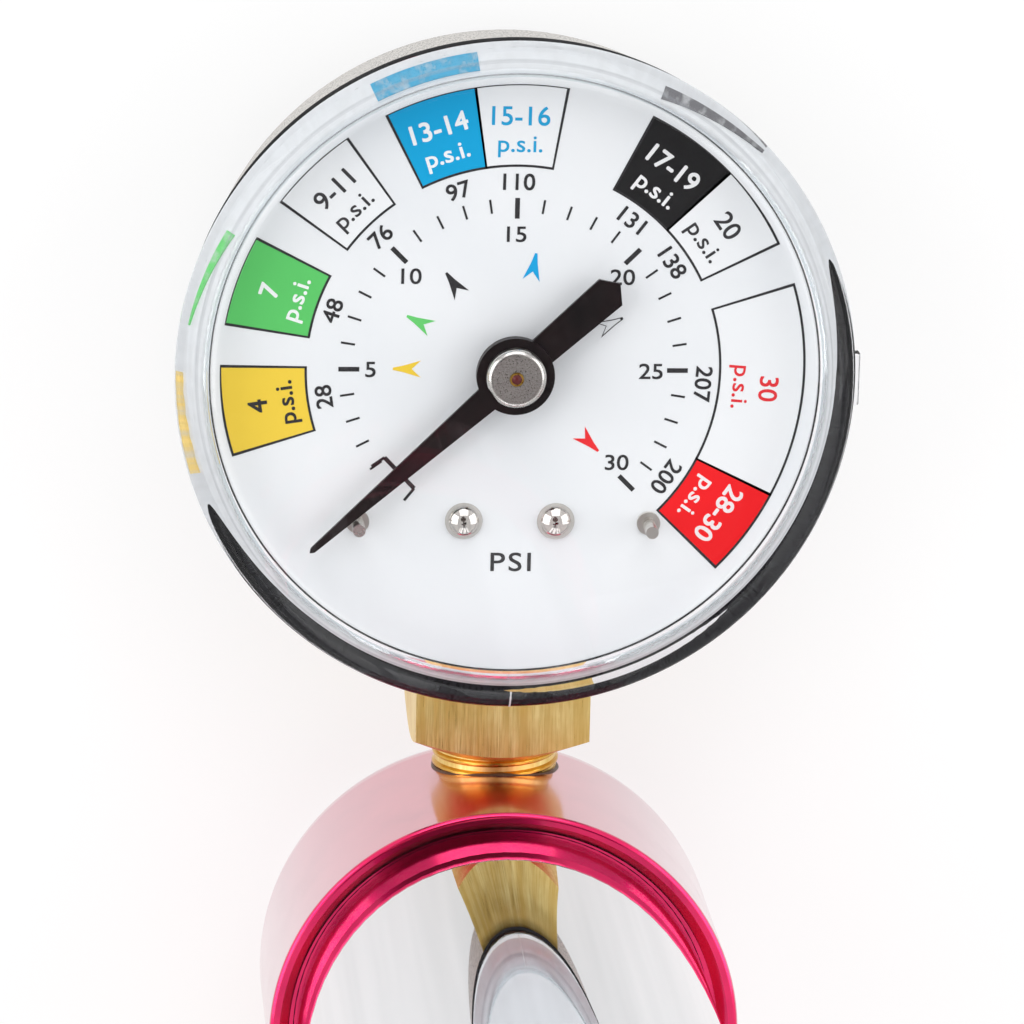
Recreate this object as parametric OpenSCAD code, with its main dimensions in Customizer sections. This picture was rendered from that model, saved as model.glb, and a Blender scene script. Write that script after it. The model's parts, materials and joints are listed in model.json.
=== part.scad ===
// Radiator pressure tester: a hand pump with a pressure gauge screwed into the side of its head.
// The origin is the middle of the resting face under the head, on the barrel's axis.
// +Z runs up the barrel, +Y points from the barrel to the gauge, and all sizes are in millimetres.

/* [Gauge casing] */
// Outer radius of the pressed steel case
case_r = 25.6; // [25:0.1:30]
// Wall of the pressed steel case
case_wall = 0.7; // [0.4:0.1:1.2]
// Depth of the case behind the printed face of the dial
case_depth = 16; // [15.6:0.1:20]
// Rounding of the case's back edge
case_edge_r = 3; // [1:0.1:4]
// How much smaller the drawn case is at its back than at its front
case_taper = 1; // [0.4:0.1:1.4]
// Wall of the lens's lip outside the case
lens_lip_wall = 1; // [0.8:0.05:1.6]
// Height of the lens's front face above the dial
lens_h = 5.4; // [5.2:0.1:8]
// Rounding of the lens's front edge
lens_edge_r = 2; // [0.8:0.1:2.4]
// Thickness of the lens's flat window
window_t = 1.6; // [1:0.1:1.8]
// Wall of the lens's side
lens_wall = 1.65; // [1.4:0.05:1.9]
// Rounding inside the lens, between its window and its side
lens_fillet_r = 1.9; // [1:0.1:2.4]
// Depth of the lens's lip below the dial
lens_lip = 0.8; // [0.4:0.1:0.9]
// Thickness of the dial plate
dial_t = 0.5; // [0.3:0.1:0.8]

/* [Gauge face] */
// Length of the pointer's needle from its axis to its tip
needle_len = 21.5; // [18:0.1:22]
// Width of the needle where it leaves the hub
needle_root_w = 2.1; // [1.4:0.1:2.4]
// Length of the pointer's tail from its axis to its point
tail_len = 10.9; // [8:0.1:11.5]
// Width of the tail at its wide end
tail_w = 2.75; // [2.4:0.05:3.2]
// Thickness of the pointer
pointer_t = 0.35; // [0.2:0.05:0.6]
// Height of the pointer's underside above the dial
pointer_z = 1.5; // [1.3:0.1:1.7]
// Radius of the pointer's round hub
hub_r = 3.07; // [2.6:0.01:3.5]
// Radius of the turned boss that is pressed on the hub
boss_r = 2.33; // [1.8:0.01:2.5]
// Distance between the two dial rivets
rivet_gap = 7.3; // [6:0.1:9]
// Distance of the rivets below the pointer's axis
rivet_drop = 12.3; // [12:0.1:12.8]
// Radius of a rivet's domed head
rivet_r = 1.5; // [1.2:0.05:1.8]
// Angle of the stop pin at the low end of the scale
low_pin_angle = 225.5; // [224:0.1:227]
// Distance of the low stop pin from the pointer's axis
low_pin_r = 17.25; // [16:0.05:18]
// Angle of the stop pin at the high end of the scale
high_pin_angle = -48.4; // [-50:0.1:-47]
// Distance of the high stop pin from the pointer's axis
high_pin_r = 16.6; // [16:0.05:18]
// Radius of a stop pin
stop_pin_r = 0.5; // [0.4:0.05:0.6]
// Height of a stop pin above the dial
stop_pin_h = 3.1; // [2.5:0.1:3.4]

/* [Gauge movement] */
// Module of the sector and pinion teeth
tooth_module = 0.25; // [0.24:0.01:0.26]
// Teeth on the pinion
pinion_teeth = 8; // [8:1:9]
// Teeth that a whole sector gear would have
sector_teeth = 72; // [70:1:74]
// Width of the toothed sector's face
sector_t = 0.8; // [0.5:0.1:1]
// Direction from the pinion's axis to the sector's axis
sector_angle = 250; // [246:1:254]
// Distance from the sector's axis to the pin in its tail
tail_pin_r = 5.5; // [5:0.1:6]
// Direction of the sector's tail at rest
tail_pin_angle = -55; // [-58:1:-52]
// Mean radius of the curved pressure tube
tube_r = 18.5; // [18:0.1:19.5]
// Radial thickness of the flattened pressure tube
tube_t = 2.4; // [2:0.1:2.8]
// Width of the flattened pressure tube along the gauge's axis
tube_w = 9; // [7:0.1:9.6]
// Wall of the pressure tube
tube_wall = 0.3; // [0.2:0.05:0.5]
// Angle at which the pressure tube ends, beside its tip
tube_end_angle = -28; // [-32:1:-24]
// Distance from the gauge's axis to the pin in the tube's tip
tip_pin_r = 15.5; // [15:0.1:16]
// Space between the front and back plates of the movement
plate_gap = 5.4; // [5:0.1:5.8]
// Thickness of the movement's plates
plate_t = 0.8; // [0.6:0.1:1]
// Turns of the hairspring
hairspring_turns = 5; // [3:1:6]

/* [Gauge stem] */
// Width across the stem's square flats
stem_flat = 14; // [12:0.5:14]
// Distance of the stem's axis behind the dial
stem_drop = 8.1; // [8:0.1:8.3]
// Length of the stem from the gauge's axis to the end of its flats
stem_reach = 31.1; // [29:0.1:31.5]
// Radius of the stem's thread where it leaves the stem
thread_r = 4.95; // [4.5:0.05:5.2]
// Length of the stem's thread inside the pump head
thread_grip = 8; // [6:0.5:8.5]
// Radius of the air passages
air_r = 1.5; // [1:0.1:2]

/* [Pump head] */
// Outer radius of the head
head_r = 18.8; // [18.6:0.1:22]
// Height of the head
head_h = 24; // [24:0.1:30]
// Rounding of the head's bottom edge
head_edge_r = 5.6; // [2:0.1:6]
// Rounding of the head's top edge
rim_r = 0.4; // [0.2:0.05:0.6]
// Width of the bevel inside the head's top edge
rim_bevel = 0.8; // [0.3:0.05:0.9]
// Depth of the socket that holds the barrel
socket_depth = 8.6; // [7:0.1:8.8]
// Depth of the relief groove round the barrel at the head's mouth
relief_depth = 1.6; // [1:0.1:2.5]
// Distance from the barrel's axis to the gauge's axis
gauge_reach = 53.3; // [53.3:0.1:60]
// Height of the gauge's dial above the resting face
dial_z = 20; // [19.8:0.1:20.2]
// Radius of the valve chamber in the middle of the head
chamber_r = 4.5; // [4:0.1:5]
// Thickness of the wall between the valve chamber and the barrel
web_t = 2.6; // [2:0.1:3]
// Radius of the hole between the barrel and the valve chamber
valve_hole_r = 1.6; // [1.2:0.1:1.8]

/* [Base plug] */
// Radius of the base plug's flange, which the pump stands on
base_r = 15.5; // [14.5:0.1:18]
// Thickness of the base plug's flange
base_t = 3; // [2.8:0.1:5]
// Length of the base plug's spigot in the valve chamber
spigot_len = 5.2; // [4.6:0.1:5.4]

/* [Valves] */
// Radius of the check valve's ball
ball_r = 2.6; // [2.4:0.1:2.8]
// Travel of the check valve's ball
ball_travel = 1; // [0.5:0.1:1.2]
// Radius of a spring's wire
wire_r = 0.2; // [0.15:0.01:0.22]
// Turns of the check valve's spring
check_turns = 4; // [3:1:4]
// Turns of the release valve's spring
bleed_turns = 5; // [3:1:5]
// Direction of the release valve round the head
bleed_angle = 225; // [210:1:240]
// Width across the release valve's hexagon
bleed_hex = 11; // [10:0.5:12]
// Travel of the release valve's button
bleed_travel = 1.8; // [1:0.1:2]

/* [Outlet] */
// Width across the outlet plug's hexagon
outlet_hex = 14; // [13:0.5:14]
// Length of the outlet plug's hexagon
outlet_hex_len = 7; // [5:0.5:9]
// Radius of the outlet plug's locking bead
bead_r = 5.9; // [5.4:0.05:6.2]
// Radius of the outlet plug's smooth nose
nose_r = 3.95; // [3.5:0.05:4.2]
// Length of the outlet plug's smooth nose
nose_len = 8; // [6:0.5:12]

/* [Barrel] */
// Outer radius of the barrel
barrel_r = 16.8; // [15.5:0.1:16.8]
// Wall of the barrel
barrel_wall = 1.6; // [1:0.1:2]
// Length of the barrel
barrel_len = 130; // [110:1:200]
// Thickness of the gasket under the barrel
gasket_t = 1.2; // [0.8:0.1:1.5]
// Wall of the gland cap's skirt
cap_wall = 2; // [1.5:0.1:3]
// Height of the gland cap's skirt
cap_skirt = 11; // [8:0.5:16]
// Thickness of the gland cap's top
cap_t = 5; // [4:0.5:8]
// Grip grooves round the gland cap
cap_grooves = 36; // [24:1:44]
// Outer radius of the rod bush
bush_r = 7.5; // [6.5:0.1:8.5]
// Height of the rod bush above the cap
bush_lip = 1.5; // [1:0.1:3]

/* [Plunger] */
// Radius of the plunger rod
rod_r = 4; // [3.5:0.1:4.5]
// Radius of the rod's threaded ends
rod_end_r = 3; // [2.5:0.1:3.2]
// Thickness of the piston
piston_t = 6; // [4:0.5:8]
// Height of the piston's cup seal
cup_h = 5.5; // [4:0.5:7]
// Wall of the cup seal
cup_wall = 1.5; // [1:0.1:2]
// Thickness of the washer under the cup seal
washer_t = 1.5; // [1:0.1:2.5]
// Width across the nuts' flats
nut_flat = 10; // [9:0.5:10]
// Thickness of the piston's nut
piston_nut_t = 4; // [3:0.5:5]
// Space under the plunger when it is pushed home
piston_gap = 1.5; // [1:0.1:3]
// Thickness of the rubber bumper under the handle
bumper_t = 4; // [3:0.5:6]
// Radius of the rubber bumper
bumper_r = 8; // [7:0.5:10]

/* [Handle] */
// Length of the handle's bar
bar_len = 90; // [70:1:110]
// Radius of the handle's bar at its grips
grip_r = 11; // [9.5:0.1:12]
// Radius of the handle's bar beside its hub
bar_waist_r = 9.2; // [8:0.1:9.4]
// Radius of the handle's hub
hub_foot_r = 10; // [9:0.1:11]
// Height of the bar's axis above the bumper
bar_rise = 19; // [17:0.5:24]

/* [Clearances] */
// Radial clearance of a turning or sliding fit
running = 0.05; // [0.02:0.01:0.08]
// Radial clearance of a fixed fit
fixed_fit = 0.03; // [0.01:0.01:0.05]
// Gap between parts that face each other and move
face_gap = 0.2; // [0.1:0.05:0.3]
// Free play in the pivot between the link and the sector
pivot_play = 0.3; // [0.25:0.01:0.35]

/* [Hidden] */
$fn = 96;
eps = 0.01;

// Colours as the photograph shows them, or as such parts are made
pink = "#c9305e";
silver = "#d8dadc";
steel = "#b5b3b0";
brass = "#c9a24a";
rubber = "#222224";
plastic = "#1c1c1e";

// Heights in the pump, from the resting face up
head_z = base_t;
head_top = head_z + head_h;
socket_z = head_top - socket_depth;
web_z = socket_z - web_t;
port_z = dial_z - stem_drop;
barrel_z = socket_z + gasket_t;
barrel_top = barrel_z + barrel_len;
barrel_in_r = barrel_r - barrel_wall;
cap_top = barrel_top + cap_t;
bush_top = cap_top + bush_lip;
bush_flange_t = 2;
bush_flange_z = barrel_top - bush_flange_t;
nut_z = socket_z + piston_gap;
washer_z = nut_z + piston_nut_t;
cup_z = washer_z + washer_t;
piston_z = cup_z + cup_h;
piston_top = piston_z + piston_t;
bumper_z = bush_top + face_gap;
handle_z = bumper_z + bumper_t;
bar_z = handle_z + bar_rise;
stroke = bush_flange_z - piston_top - 3 * face_gap;

// Places in the gauge, measured from the middle of the dial's printed face
case_in_r = case_r - case_wall;
case_back_r = case_r - case_taper;
case_flat_r = case_back_r - case_edge_r;
case_back = -case_depth;
case_floor = case_back + case_wall;
rim_z = 0.2;
dial_r = case_in_r - 0.3;
lens_r = case_r + running + lens_lip_wall;
lens_in_r = lens_r - lens_wall;
stem_half = stem_flat / 2;
stem_back = -stem_half;
thread_end = gauge_reach - head_r + thread_grip;
block_top = -16.5;
block_half = 6.5;
block_front = -stem_drop + tube_w / 2 - 0.4;
tongue_top = -11.6;
tongue_half = 5;
plates_mid = -stem_drop + 0.3;
back_plate_z = plates_mid - plate_gap / 2 - plate_t;
front_plate_z = plates_mid + plate_gap / 2;
sector_z = plates_mid - sector_t / 2;
sector_top = sector_z + sector_t;
screw_head_r = 2;
screw_x = 4;
screw_y = -(case_flat_r - screw_head_r - 0.6);
movement_screw_x = 3.2;
movement_screw_y = -14.2;
link_z = sector_top + 0.15;
link_t = 0.4;

// The toothed pair
pinion_pitch_r = tooth_module * pinion_teeth / 2;
sector_pitch_r = tooth_module * sector_teeth / 2;
centres = pinion_pitch_r + sector_pitch_r;
sector_at = centres * [cos(sector_angle), sin(sector_angle)];
pressure_angle = 20;
tooth_backlash = 0.05;
arbor_r = 0.6;
pivot_r = 0.45;

// The needle rests against one pin and stops against the other
pointer_tip_half = 0.22;
function needle_half(r) = pointer_tip_half
    + (needle_root_w / 2 - pointer_tip_half) * (needle_len - r) / (needle_len - hub_r);
function pin_offset(r) = asin((stop_pin_r + needle_half(r) + running) / r);
rest_angle = low_pin_angle - pin_offset(low_pin_r);
full_angle = high_pin_angle + pin_offset(high_pin_r);
sweep = rest_angle - full_angle;
sector_sweep = sweep * pinion_teeth / sector_teeth;

// The tube's tip moves along a line as it uncurls, and its link draws the sector's tail round
tail_pin = sector_at + tail_pin_r * [cos(tail_pin_angle), sin(tail_pin_angle)];
tail_pin_full = sector_at
    + tail_pin_r * [cos(tail_pin_angle + sector_sweep), sin(tail_pin_angle + sector_sweep)];
tip_pin = tip_pin_r * [cos(tube_end_angle), sin(tube_end_angle)];
link_len = norm(tip_pin - tail_pin);
link_angle = atan2(tip_pin[1] - tail_pin[1], tip_pin[0] - tail_pin[0]);
tube_start_angle = 252;
tip_move_angle = 54;

// The tip's travel that leaves the link as long as it was, by the rule of cosines
tip_way = [cos(tip_move_angle), sin(tip_move_angle)];
tip_from_tail = tip_pin - tail_pin_full;
tip_dot = tip_from_tail * tip_way;
tip_travel = -tip_dot + sqrt(tip_dot * tip_dot - tip_from_tail * tip_from_tail + link_len * link_len);
tip_pin_full = tip_pin + tip_travel * tip_way;
link_turn = atan2(tip_pin_full[1] - tail_pin_full[1], tip_pin_full[0] - tail_pin_full[0]) - link_angle;

echo(plunger_stroke = stroke, overall = bar_z + grip_r);
echo(pointer_rest = rest_angle, pointer_sweep = sweep, sector_sweep = sector_sweep);
echo(sector_at = sector_at, tip_pin = tip_pin, tip_travel = tip_travel, link_turn = link_turn);

// Round coil spring as one unbroken tube with flat closed ends on its axis
ring_steps = 8;
wire_sides = 6;
function coil_point(r, wire, turns, h, i, k) =
    let (a = 360 * i / ring_steps, q = 360 * k / wire_sides, run = i / (turns * ring_steps),
        rr = r + wire * cos(q))
    [rr * cos(a), rr * sin(a), wire + (h - 2 * wire) * run + wire * sin(q)];
module coil_spring(r, wire, turns, h) {
    rings = turns * ring_steps;
    points = [for (i = [0:rings], k = [0:wire_sides - 1]) coil_point(r, wire, turns, h, i, k)];
    sides = [for (i = [0:rings - 1], k = [0:wire_sides - 1], half = [0, 1])
        let (a = i * wire_sides + k, b = i * wire_sides + (k + 1) % wire_sides)
        half == 0 ? [a, a + wire_sides, b] : [b, a + wire_sides, b + wire_sides]];
    cap_a = [for (k = [1:wire_sides - 2]) [0, k, k + 1]];
    last = rings * wire_sides;
    cap_b = [for (k = [1:wire_sides - 2]) [last, last + k + 1, last + k]];
    polyhedron(points, concat(sides, cap_a, cap_b));
}
function coil_gap(wire, turns, h) = (h - 2 * wire) / turns - 2 * wire;

// Shared shapes
module tube(r_out, r_in, h) {
    difference() {
        cylinder(r = r_out, h = h);
        translate([0, 0, -1]) cylinder(r = r_in, h = h + 2);
    }
}
module hexagon(flat, h) {
    cylinder(r = flat / 2 / cos(30), h = h, $fn = 6);
}
// A hexagon with its corners turned off at both ends
module turned_hexagon(flat, h) {
    intersection() {
        hexagon(flat, h);
        union() {
            cylinder(r1 = flat / 2, r2 = flat / 2 + h / 2, h = h / 2);
            translate([0, 0, h / 2]) cylinder(r1 = flat / 2 + h / 2, r2 = flat / 2, h = h / 2);
        }
    }
}
function arc(c, r, a0, a1, n) = [for (i = [0:n]) let (a = a0 + (a1 - a0) * i / n)
    [c[0] + r * cos(a), c[1] + r * sin(a)]];
module in_gauge() {
    translate([0, gauge_reach, dial_z]) children();
}
// Lays a part that is drawn along +Z so that it points out of the head at an angle
module out_of_head(angle) {
    translate([0, 0, port_z]) rotate([0, 0, angle]) rotate([0, 90, 0]) children();
}

/* Pump head */

thread_taper = 1 / 32;
port_floor = head_r - thread_grip - 1.2;
port_end_r = thread_r - thread_grip * thread_taper;
bleed_seat = head_r - 0.6;
bleed_shank_r = 3.9;
bleed_shank_len = 7.4;
bleed_bore_r = 1.7;
bleed_disc_r = 2.5;
bleed_disc_t = 1.2;
bleed_spring_r = 3;

module threaded_port(angle) {
    out_of_head(angle) {
        translate([0, 0, port_floor]) cylinder(r = port_end_r + fixed_fit, h = head_r);
        translate([0, 0, head_r - thread_grip])
            cylinder(r1 = port_end_r + fixed_fit,
                r2 = thread_r + 2 * thread_grip * thread_taper + fixed_fit, h = 3 * thread_grip);
        cylinder(r = air_r, h = head_r);
    }
}

socket_mouth_r = barrel_r + 0.4;
module head_blank() {
    rotate_extrude()
        polygon(concat(
            [[0, head_z]],
            arc([head_r - head_edge_r, head_z + head_edge_r], head_edge_r, -90, 0, 12),
            arc([head_r - rim_r, head_top - rim_r], rim_r, 0, 90, 6),
            [[socket_mouth_r + rim_bevel, head_top], [socket_mouth_r, head_top - rim_bevel]],
            [[socket_mouth_r, head_top - relief_depth], [barrel_r + fixed_fit, head_top - relief_depth]],
            [[barrel_r + fixed_fit, socket_z], [0, socket_z]]));
}
module pump_head() {
    color(pink)
        difference() {
            head_blank();
            translate([0, 0, head_z - 1]) cylinder(r = chamber_r, h = web_z - head_z + 1);
            translate([0, 0, web_z - 1]) cylinder(r = valve_hole_r, h = web_t + 2);
            threaded_port(90);
            threaded_port(-90);
            out_of_head(bleed_angle) {
                translate([0, 0, bleed_seat]) cylinder(r = bleed_hex / 2 / cos(30) + 0.3, h = head_r);
                translate([0, 0, bleed_seat - bleed_shank_len - bleed_disc_t - bleed_travel - 1])
                    cylinder(r = bleed_shank_r + fixed_fit, h = head_r);
                cylinder(r = air_r, h = head_r);
            }
        }
}

// Screw plug under the head, with two holes for a pin spanner and a pocket for the valve spring
pocket_r = 2.9;
pocket_z = base_t + 1;
module base_plug() {
    color(silver)
        difference() {
            union() {
                rotate_extrude()
                    polygon([[0, 0], [base_r - 0.8, 0], [base_r, 0.8], [base_r, base_t - 0.4],
                        [base_r - 0.4, base_t], [0, base_t]]);
                translate([0, 0, base_t - eps])
                    cylinder(r = chamber_r - fixed_fit, h = spigot_len + eps);
            }
            translate([0, 0, pocket_z]) cylinder(r = pocket_r, h = spigot_len);
            for (side = [-1, 1])
                translate([side * base_r * 0.62, 0, -1]) cylinder(r = 1.5, h = 3);
        }
}

/* Valves */

// The ball rests a hair below the edge of its hole
ball_z = web_z - sqrt(ball_r * ball_r - valve_hole_r * valve_hole_r) - running;
module check_ball() {
    color(silver) translate([0, 0, ball_z]) sphere(r = ball_r);
}

check_spring_r = 1.7;
check_spring_top = ball_z + wire_r
    - sqrt(pow(ball_r + wire_r + running, 2) - pow(check_spring_r, 2));
module check_spring() {
    echo(check_spring_gap = coil_gap(wire_r, check_turns, check_spring_top - pocket_z));
    color(steel)
        translate([0, 0, pocket_z])
            coil_spring(check_spring_r, wire_r, check_turns, check_spring_top - pocket_z);
}

// Release valve: body, sprung button and the rubber disc that the spring pulls against the shank
bleed_hex_len = 6;
bleed_collar_len = 2.6;
bleed_top = bleed_hex_len + bleed_collar_len;
bleed_well_z = 2;
bleed_stem_r = 1.3;
bleed_cap_z = bleed_top - 1.4;
bleed_cap_len = 4.4;
module bleed_body() {
    color(brass)
        out_of_head(bleed_angle) translate([0, 0, bleed_seat])
            difference() {
                union() {
                    translate([0, 0, -bleed_shank_len])
                        cylinder(r = bleed_shank_r, h = bleed_shank_len + eps);
                    turned_hexagon(bleed_hex, bleed_hex_len);
                    cylinder(r = bleed_spring_r + 1.4, h = bleed_top);
                }
                translate([0, 0, -bleed_shank_len - 1])
                    cylinder(r = bleed_bore_r, h = bleed_shank_len + bleed_top + 2);
                translate([0, 0, bleed_well_z])
                    cylinder(r = bleed_spring_r + 0.3 + running, h = bleed_top);
            }
}
module bleed_button() {
    color(plastic)
        out_of_head(bleed_angle) translate([0, 0, bleed_seat]) {
            translate([0, 0, -bleed_shank_len - bleed_disc_t - 0.6])
                cylinder(r = bleed_stem_r, h = bleed_cap_z + bleed_shank_len + bleed_disc_t + 0.7);
            translate([0, 0, bleed_cap_z])
                rotate_extrude()
                    polygon(concat([[0, 0], [bleed_spring_r + 0.3 - running, 0]],
                        arc([bleed_spring_r - 0.5 - running, bleed_cap_len - 0.8], 0.8, 0, 90, 6),
                        [[0, bleed_cap_len]]));
        }
}
module bleed_seal() {
    color(rubber)
        out_of_head(bleed_angle)
            translate([0, 0, bleed_seat - bleed_shank_len - bleed_disc_t - running])
                tube(bleed_disc_r, bleed_stem_r + fixed_fit, bleed_disc_t);
}
bleed_spring_len = bleed_cap_z - bleed_well_z - 0.2;
module bleed_spring() {
    echo(bleed_spring_gap = coil_gap(wire_r, bleed_turns, bleed_spring_len));
    color(steel)
        out_of_head(bleed_angle) translate([0, 0, bleed_seat + bleed_well_z + 0.1])
            coil_spring(bleed_spring_r - 2 * wire_r - 0.2, wire_r, bleed_turns, bleed_spring_len);
}

/* Outlet */

// Quick-connect plug: tapered thread, hexagon, locking groove and bead, smooth nose
outlet_gap = 0.9;
groove_r = 4.1;
groove_len = 4;
bead_len = 3;
outlet_hex_z = head_r + outlet_gap;
groove_z = outlet_hex_z + outlet_hex_len;
bead_z = groove_z + groove_len;
nose_z = bead_z + bead_len + (bead_r - nose_r) * 0.8;
outlet_end = nose_z + nose_len;
module outlet_plug() {
    color(brass)
        out_of_head(-90)
            difference() {
                union() {
                    translate([0, 0, head_r - thread_grip])
                        cylinder(r1 = port_end_r, r2 = thread_r + outlet_gap * thread_taper,
                            h = thread_grip + outlet_gap + eps);
                    translate([0, 0, outlet_hex_z]) turned_hexagon(outlet_hex, outlet_hex_len);
                    rotate_extrude()
                        polygon(concat(
                            [[0, groove_z - 1], [groove_r + 1, groove_z - 1], [groove_r + 1, groove_z]],
                            [[groove_r, groove_z + 1], [groove_r, bead_z - 1]],
                            arc([bead_r - 1, bead_z], 1, -45, 0, 4),
                            [[bead_r, bead_z + bead_len], [nose_r, nose_z], [nose_r, outlet_end - 0.6]],
                            [[nose_r - 0.6, outlet_end], [0, outlet_end]]));
                }
                translate([0, 0, head_r - thread_grip - 1]) cylinder(r = air_r, h = outlet_end);
            }
}

/* Barrel and gland */

module barrel_gasket() {
    color(rubber)
        translate([0, 0, socket_z]) tube(barrel_r, barrel_in_r - 0.4, gasket_t);
}
module barrel() {
    color(silver)
        translate([0, 0, barrel_z])
            rotate_extrude()
                polygon([[barrel_in_r, 0.3], [barrel_in_r + 0.3, 0], [barrel_r - 0.3, 0], [barrel_r, 0.3],
                    [barrel_r, barrel_len - 0.3], [barrel_r - 0.3, barrel_len],
                    [barrel_in_r + 0.3, barrel_len], [barrel_in_r, barrel_len - 0.3]]);
}
cap_r = barrel_r + cap_wall;
vent_holes = 4;
module gland_cap() {
    color(pink)
        difference() {
            rotate_extrude()
                polygon(concat(
                    [[bush_r + fixed_fit, barrel_top], [barrel_r + fixed_fit, barrel_top]],
                    [[barrel_r + fixed_fit, barrel_top - cap_skirt], [cap_r - 0.6, barrel_top - cap_skirt]],
                    [[cap_r, barrel_top - cap_skirt + 0.6]],
                    arc([cap_r - 1.6, cap_top - 1.6], 1.6, 0, 90, 6),
                    [[bush_r + fixed_fit, cap_top]]));
            for (i = [0:cap_grooves - 1])
                rotate([0, 0, i * 360 / cap_grooves])
                    translate([cap_r + 0.35, 0, barrel_top - cap_skirt + 1.6])
                        cylinder(r = 0.9, h = cap_skirt + cap_t - 5, $fn = 24);
            for (i = [0:vent_holes - 1])
                rotate([0, 0, 45 + i * 360 / vent_holes])
                    translate([(bush_r + barrel_in_r) / 2 + 0.6, 0, barrel_top - 1])
                        cylinder(r = 1, h = cap_t + 2, $fn = 24);
        }
}
module rod_bush() {
    color(brass)
        difference() {
            union() {
                translate([0, 0, bush_flange_z]) cylinder(r = bush_r + 2, h = bush_flange_t);
                translate([0, 0, barrel_top - eps]) cylinder(r = bush_r, h = cap_t + bush_lip + eps);
            }
            translate([0, 0, bush_flange_z - 1]) cylinder(r = rod_r + running, h = cap_t + bush_lip + 5);
        }
}

/* Plunger */

rod_foot = nut_z - 1;
handle_seat_z = bar_z + grip_r - 7;
rod_top = handle_seat_z + 5.5;
module plunger_rod() {
    color(silver)
        rotate_extrude()
            polygon([[0, rod_foot], [rod_end_r - 0.5, rod_foot], [rod_end_r, rod_foot + 0.5],
                [rod_end_r, piston_top - 1], [rod_r, piston_top - 1], [rod_r, handle_seat_z - 1],
                [rod_end_r, handle_seat_z - 1], [rod_end_r, rod_top - 0.5], [rod_end_r - 0.5, rod_top],
                [0, rod_top]]);
}
piston_r = barrel_in_r - 0.35;
module piston() {
    color(silver)
        translate([0, 0, piston_z])
            difference() {
                rotate_extrude()
                    polygon([[0, 0], [piston_r - cup_wall - 0.2, 0], [piston_r - cup_wall - 0.2, 1],
                        [piston_r, 1], [piston_r, piston_t - 0.6], [piston_r - 0.6, piston_t], [0, piston_t]]);
                translate([0, 0, -1]) cylinder(r = rod_end_r + fixed_fit, h = piston_t);
                translate([0, 0, piston_t - 1]) cylinder(r = rod_r + fixed_fit, h = 2);
            }
}
// Cup seal: its lip opens downwards and lets air past on the way up
cup_r = barrel_in_r - running - 0.03;
cup_floor = 2;
module piston_cup() {
    color(rubber)
        difference() {
            rotate_extrude()
                polygon([[0, piston_z], [piston_r - cup_wall - 0.6, piston_z], [cup_r, piston_z - 1.4],
                    [cup_r, cup_z], [cup_r - cup_wall * 0.6, cup_z],
                    [cup_r - cup_wall, piston_z - cup_floor], [0, piston_z - cup_floor]]);
            translate([0, 0, cup_z]) cylinder(r = rod_end_r + fixed_fit, h = cup_h + 1);
        }
}
washer_r = cup_r - cup_wall - 1.4;
module cup_washer() {
    color(steel)
        difference() {
            union() {
                translate([0, 0, washer_z]) cylinder(r = washer_r, h = washer_t);
                translate([0, 0, washer_z]) cylinder(r = washer_r - 2, h = piston_z - cup_floor - washer_z);
            }
            translate([0, 0, washer_z - 1]) cylinder(r = rod_end_r + fixed_fit, h = cup_h + washer_t);
        }
}
module piston_nut() {
    color(steel)
        translate([0, 0, nut_z])
            difference() {
                turned_hexagon(nut_flat, piston_nut_t);
                translate([0, 0, -1]) cylinder(r = rod_end_r + fixed_fit, h = piston_nut_t + 2);
            }
}
module bumper() {
    color(rubber)
        difference() {
            translate([0, 0, bumper_z])
                rotate_extrude()
                    polygon(concat([[0, 0]], arc([bumper_r - 1, 1], 1, -90, 0, 5),
                        arc([bumper_r - 1, bumper_t - 1], 1, 0, 90, 5), [[0, bumper_t]]));
            translate([0, 0, bumper_z - 1]) cylinder(r = rod_r + fixed_fit, h = bumper_t + 2);
        }
}

/* Handle */

// Half of the bar's outline: waist beside the hub, swelling to a grip with a rounded end
bar_half = bar_len / 2;
end_r = 6;
swell_x = bar_half - 14;
function bar_radius(x) = bar_waist_r
    + (grip_r - bar_waist_r) * (1 - cos(180 * min(x, swell_x) / swell_x)) / 2;
function bar_outline(n) = concat(
    [for (i = [0:n]) let (x = swell_x * i / n) [bar_radius(x), x]],
    arc([grip_r - end_r, bar_half - end_r], end_r, 0, 90, 8));
module handle_bar() {
    for (side = [0, 180])
        rotate([0, 90, side])
            rotate_extrude() polygon(concat([[0, -eps]], bar_outline(10), [[0, bar_half]]));
}
module handle() {
    color(plastic)
        difference() {
            union() {
                translate([0, 0, bar_z]) handle_bar();
                translate([0, 0, handle_z])
                    rotate_extrude()
                        polygon(concat([[0, 0]], arc([hub_foot_r - 1, 1], 1, -90, 0, 5),
                            [[hub_foot_r - 1.4, bar_rise], [hub_foot_r - 1.4, bar_rise + grip_r - 1.6]],
                            arc([hub_foot_r - 2.4, bar_rise + grip_r - 1.6], 1, 0, 90, 5),
                            [[0, bar_rise + grip_r - 0.6]]));
            }
            translate([0, 0, handle_z - 1])
                cylinder(r = rod_r + fixed_fit, h = handle_seat_z - handle_z);
            translate([0, 0, handle_z]) cylinder(r = rod_end_r + fixed_fit, h = bar_rise + grip_r);
            translate([0, 0, handle_seat_z]) cylinder(r = nut_flat / 2 / cos(30) + 0.5, h = grip_r);
        }
}
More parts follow.
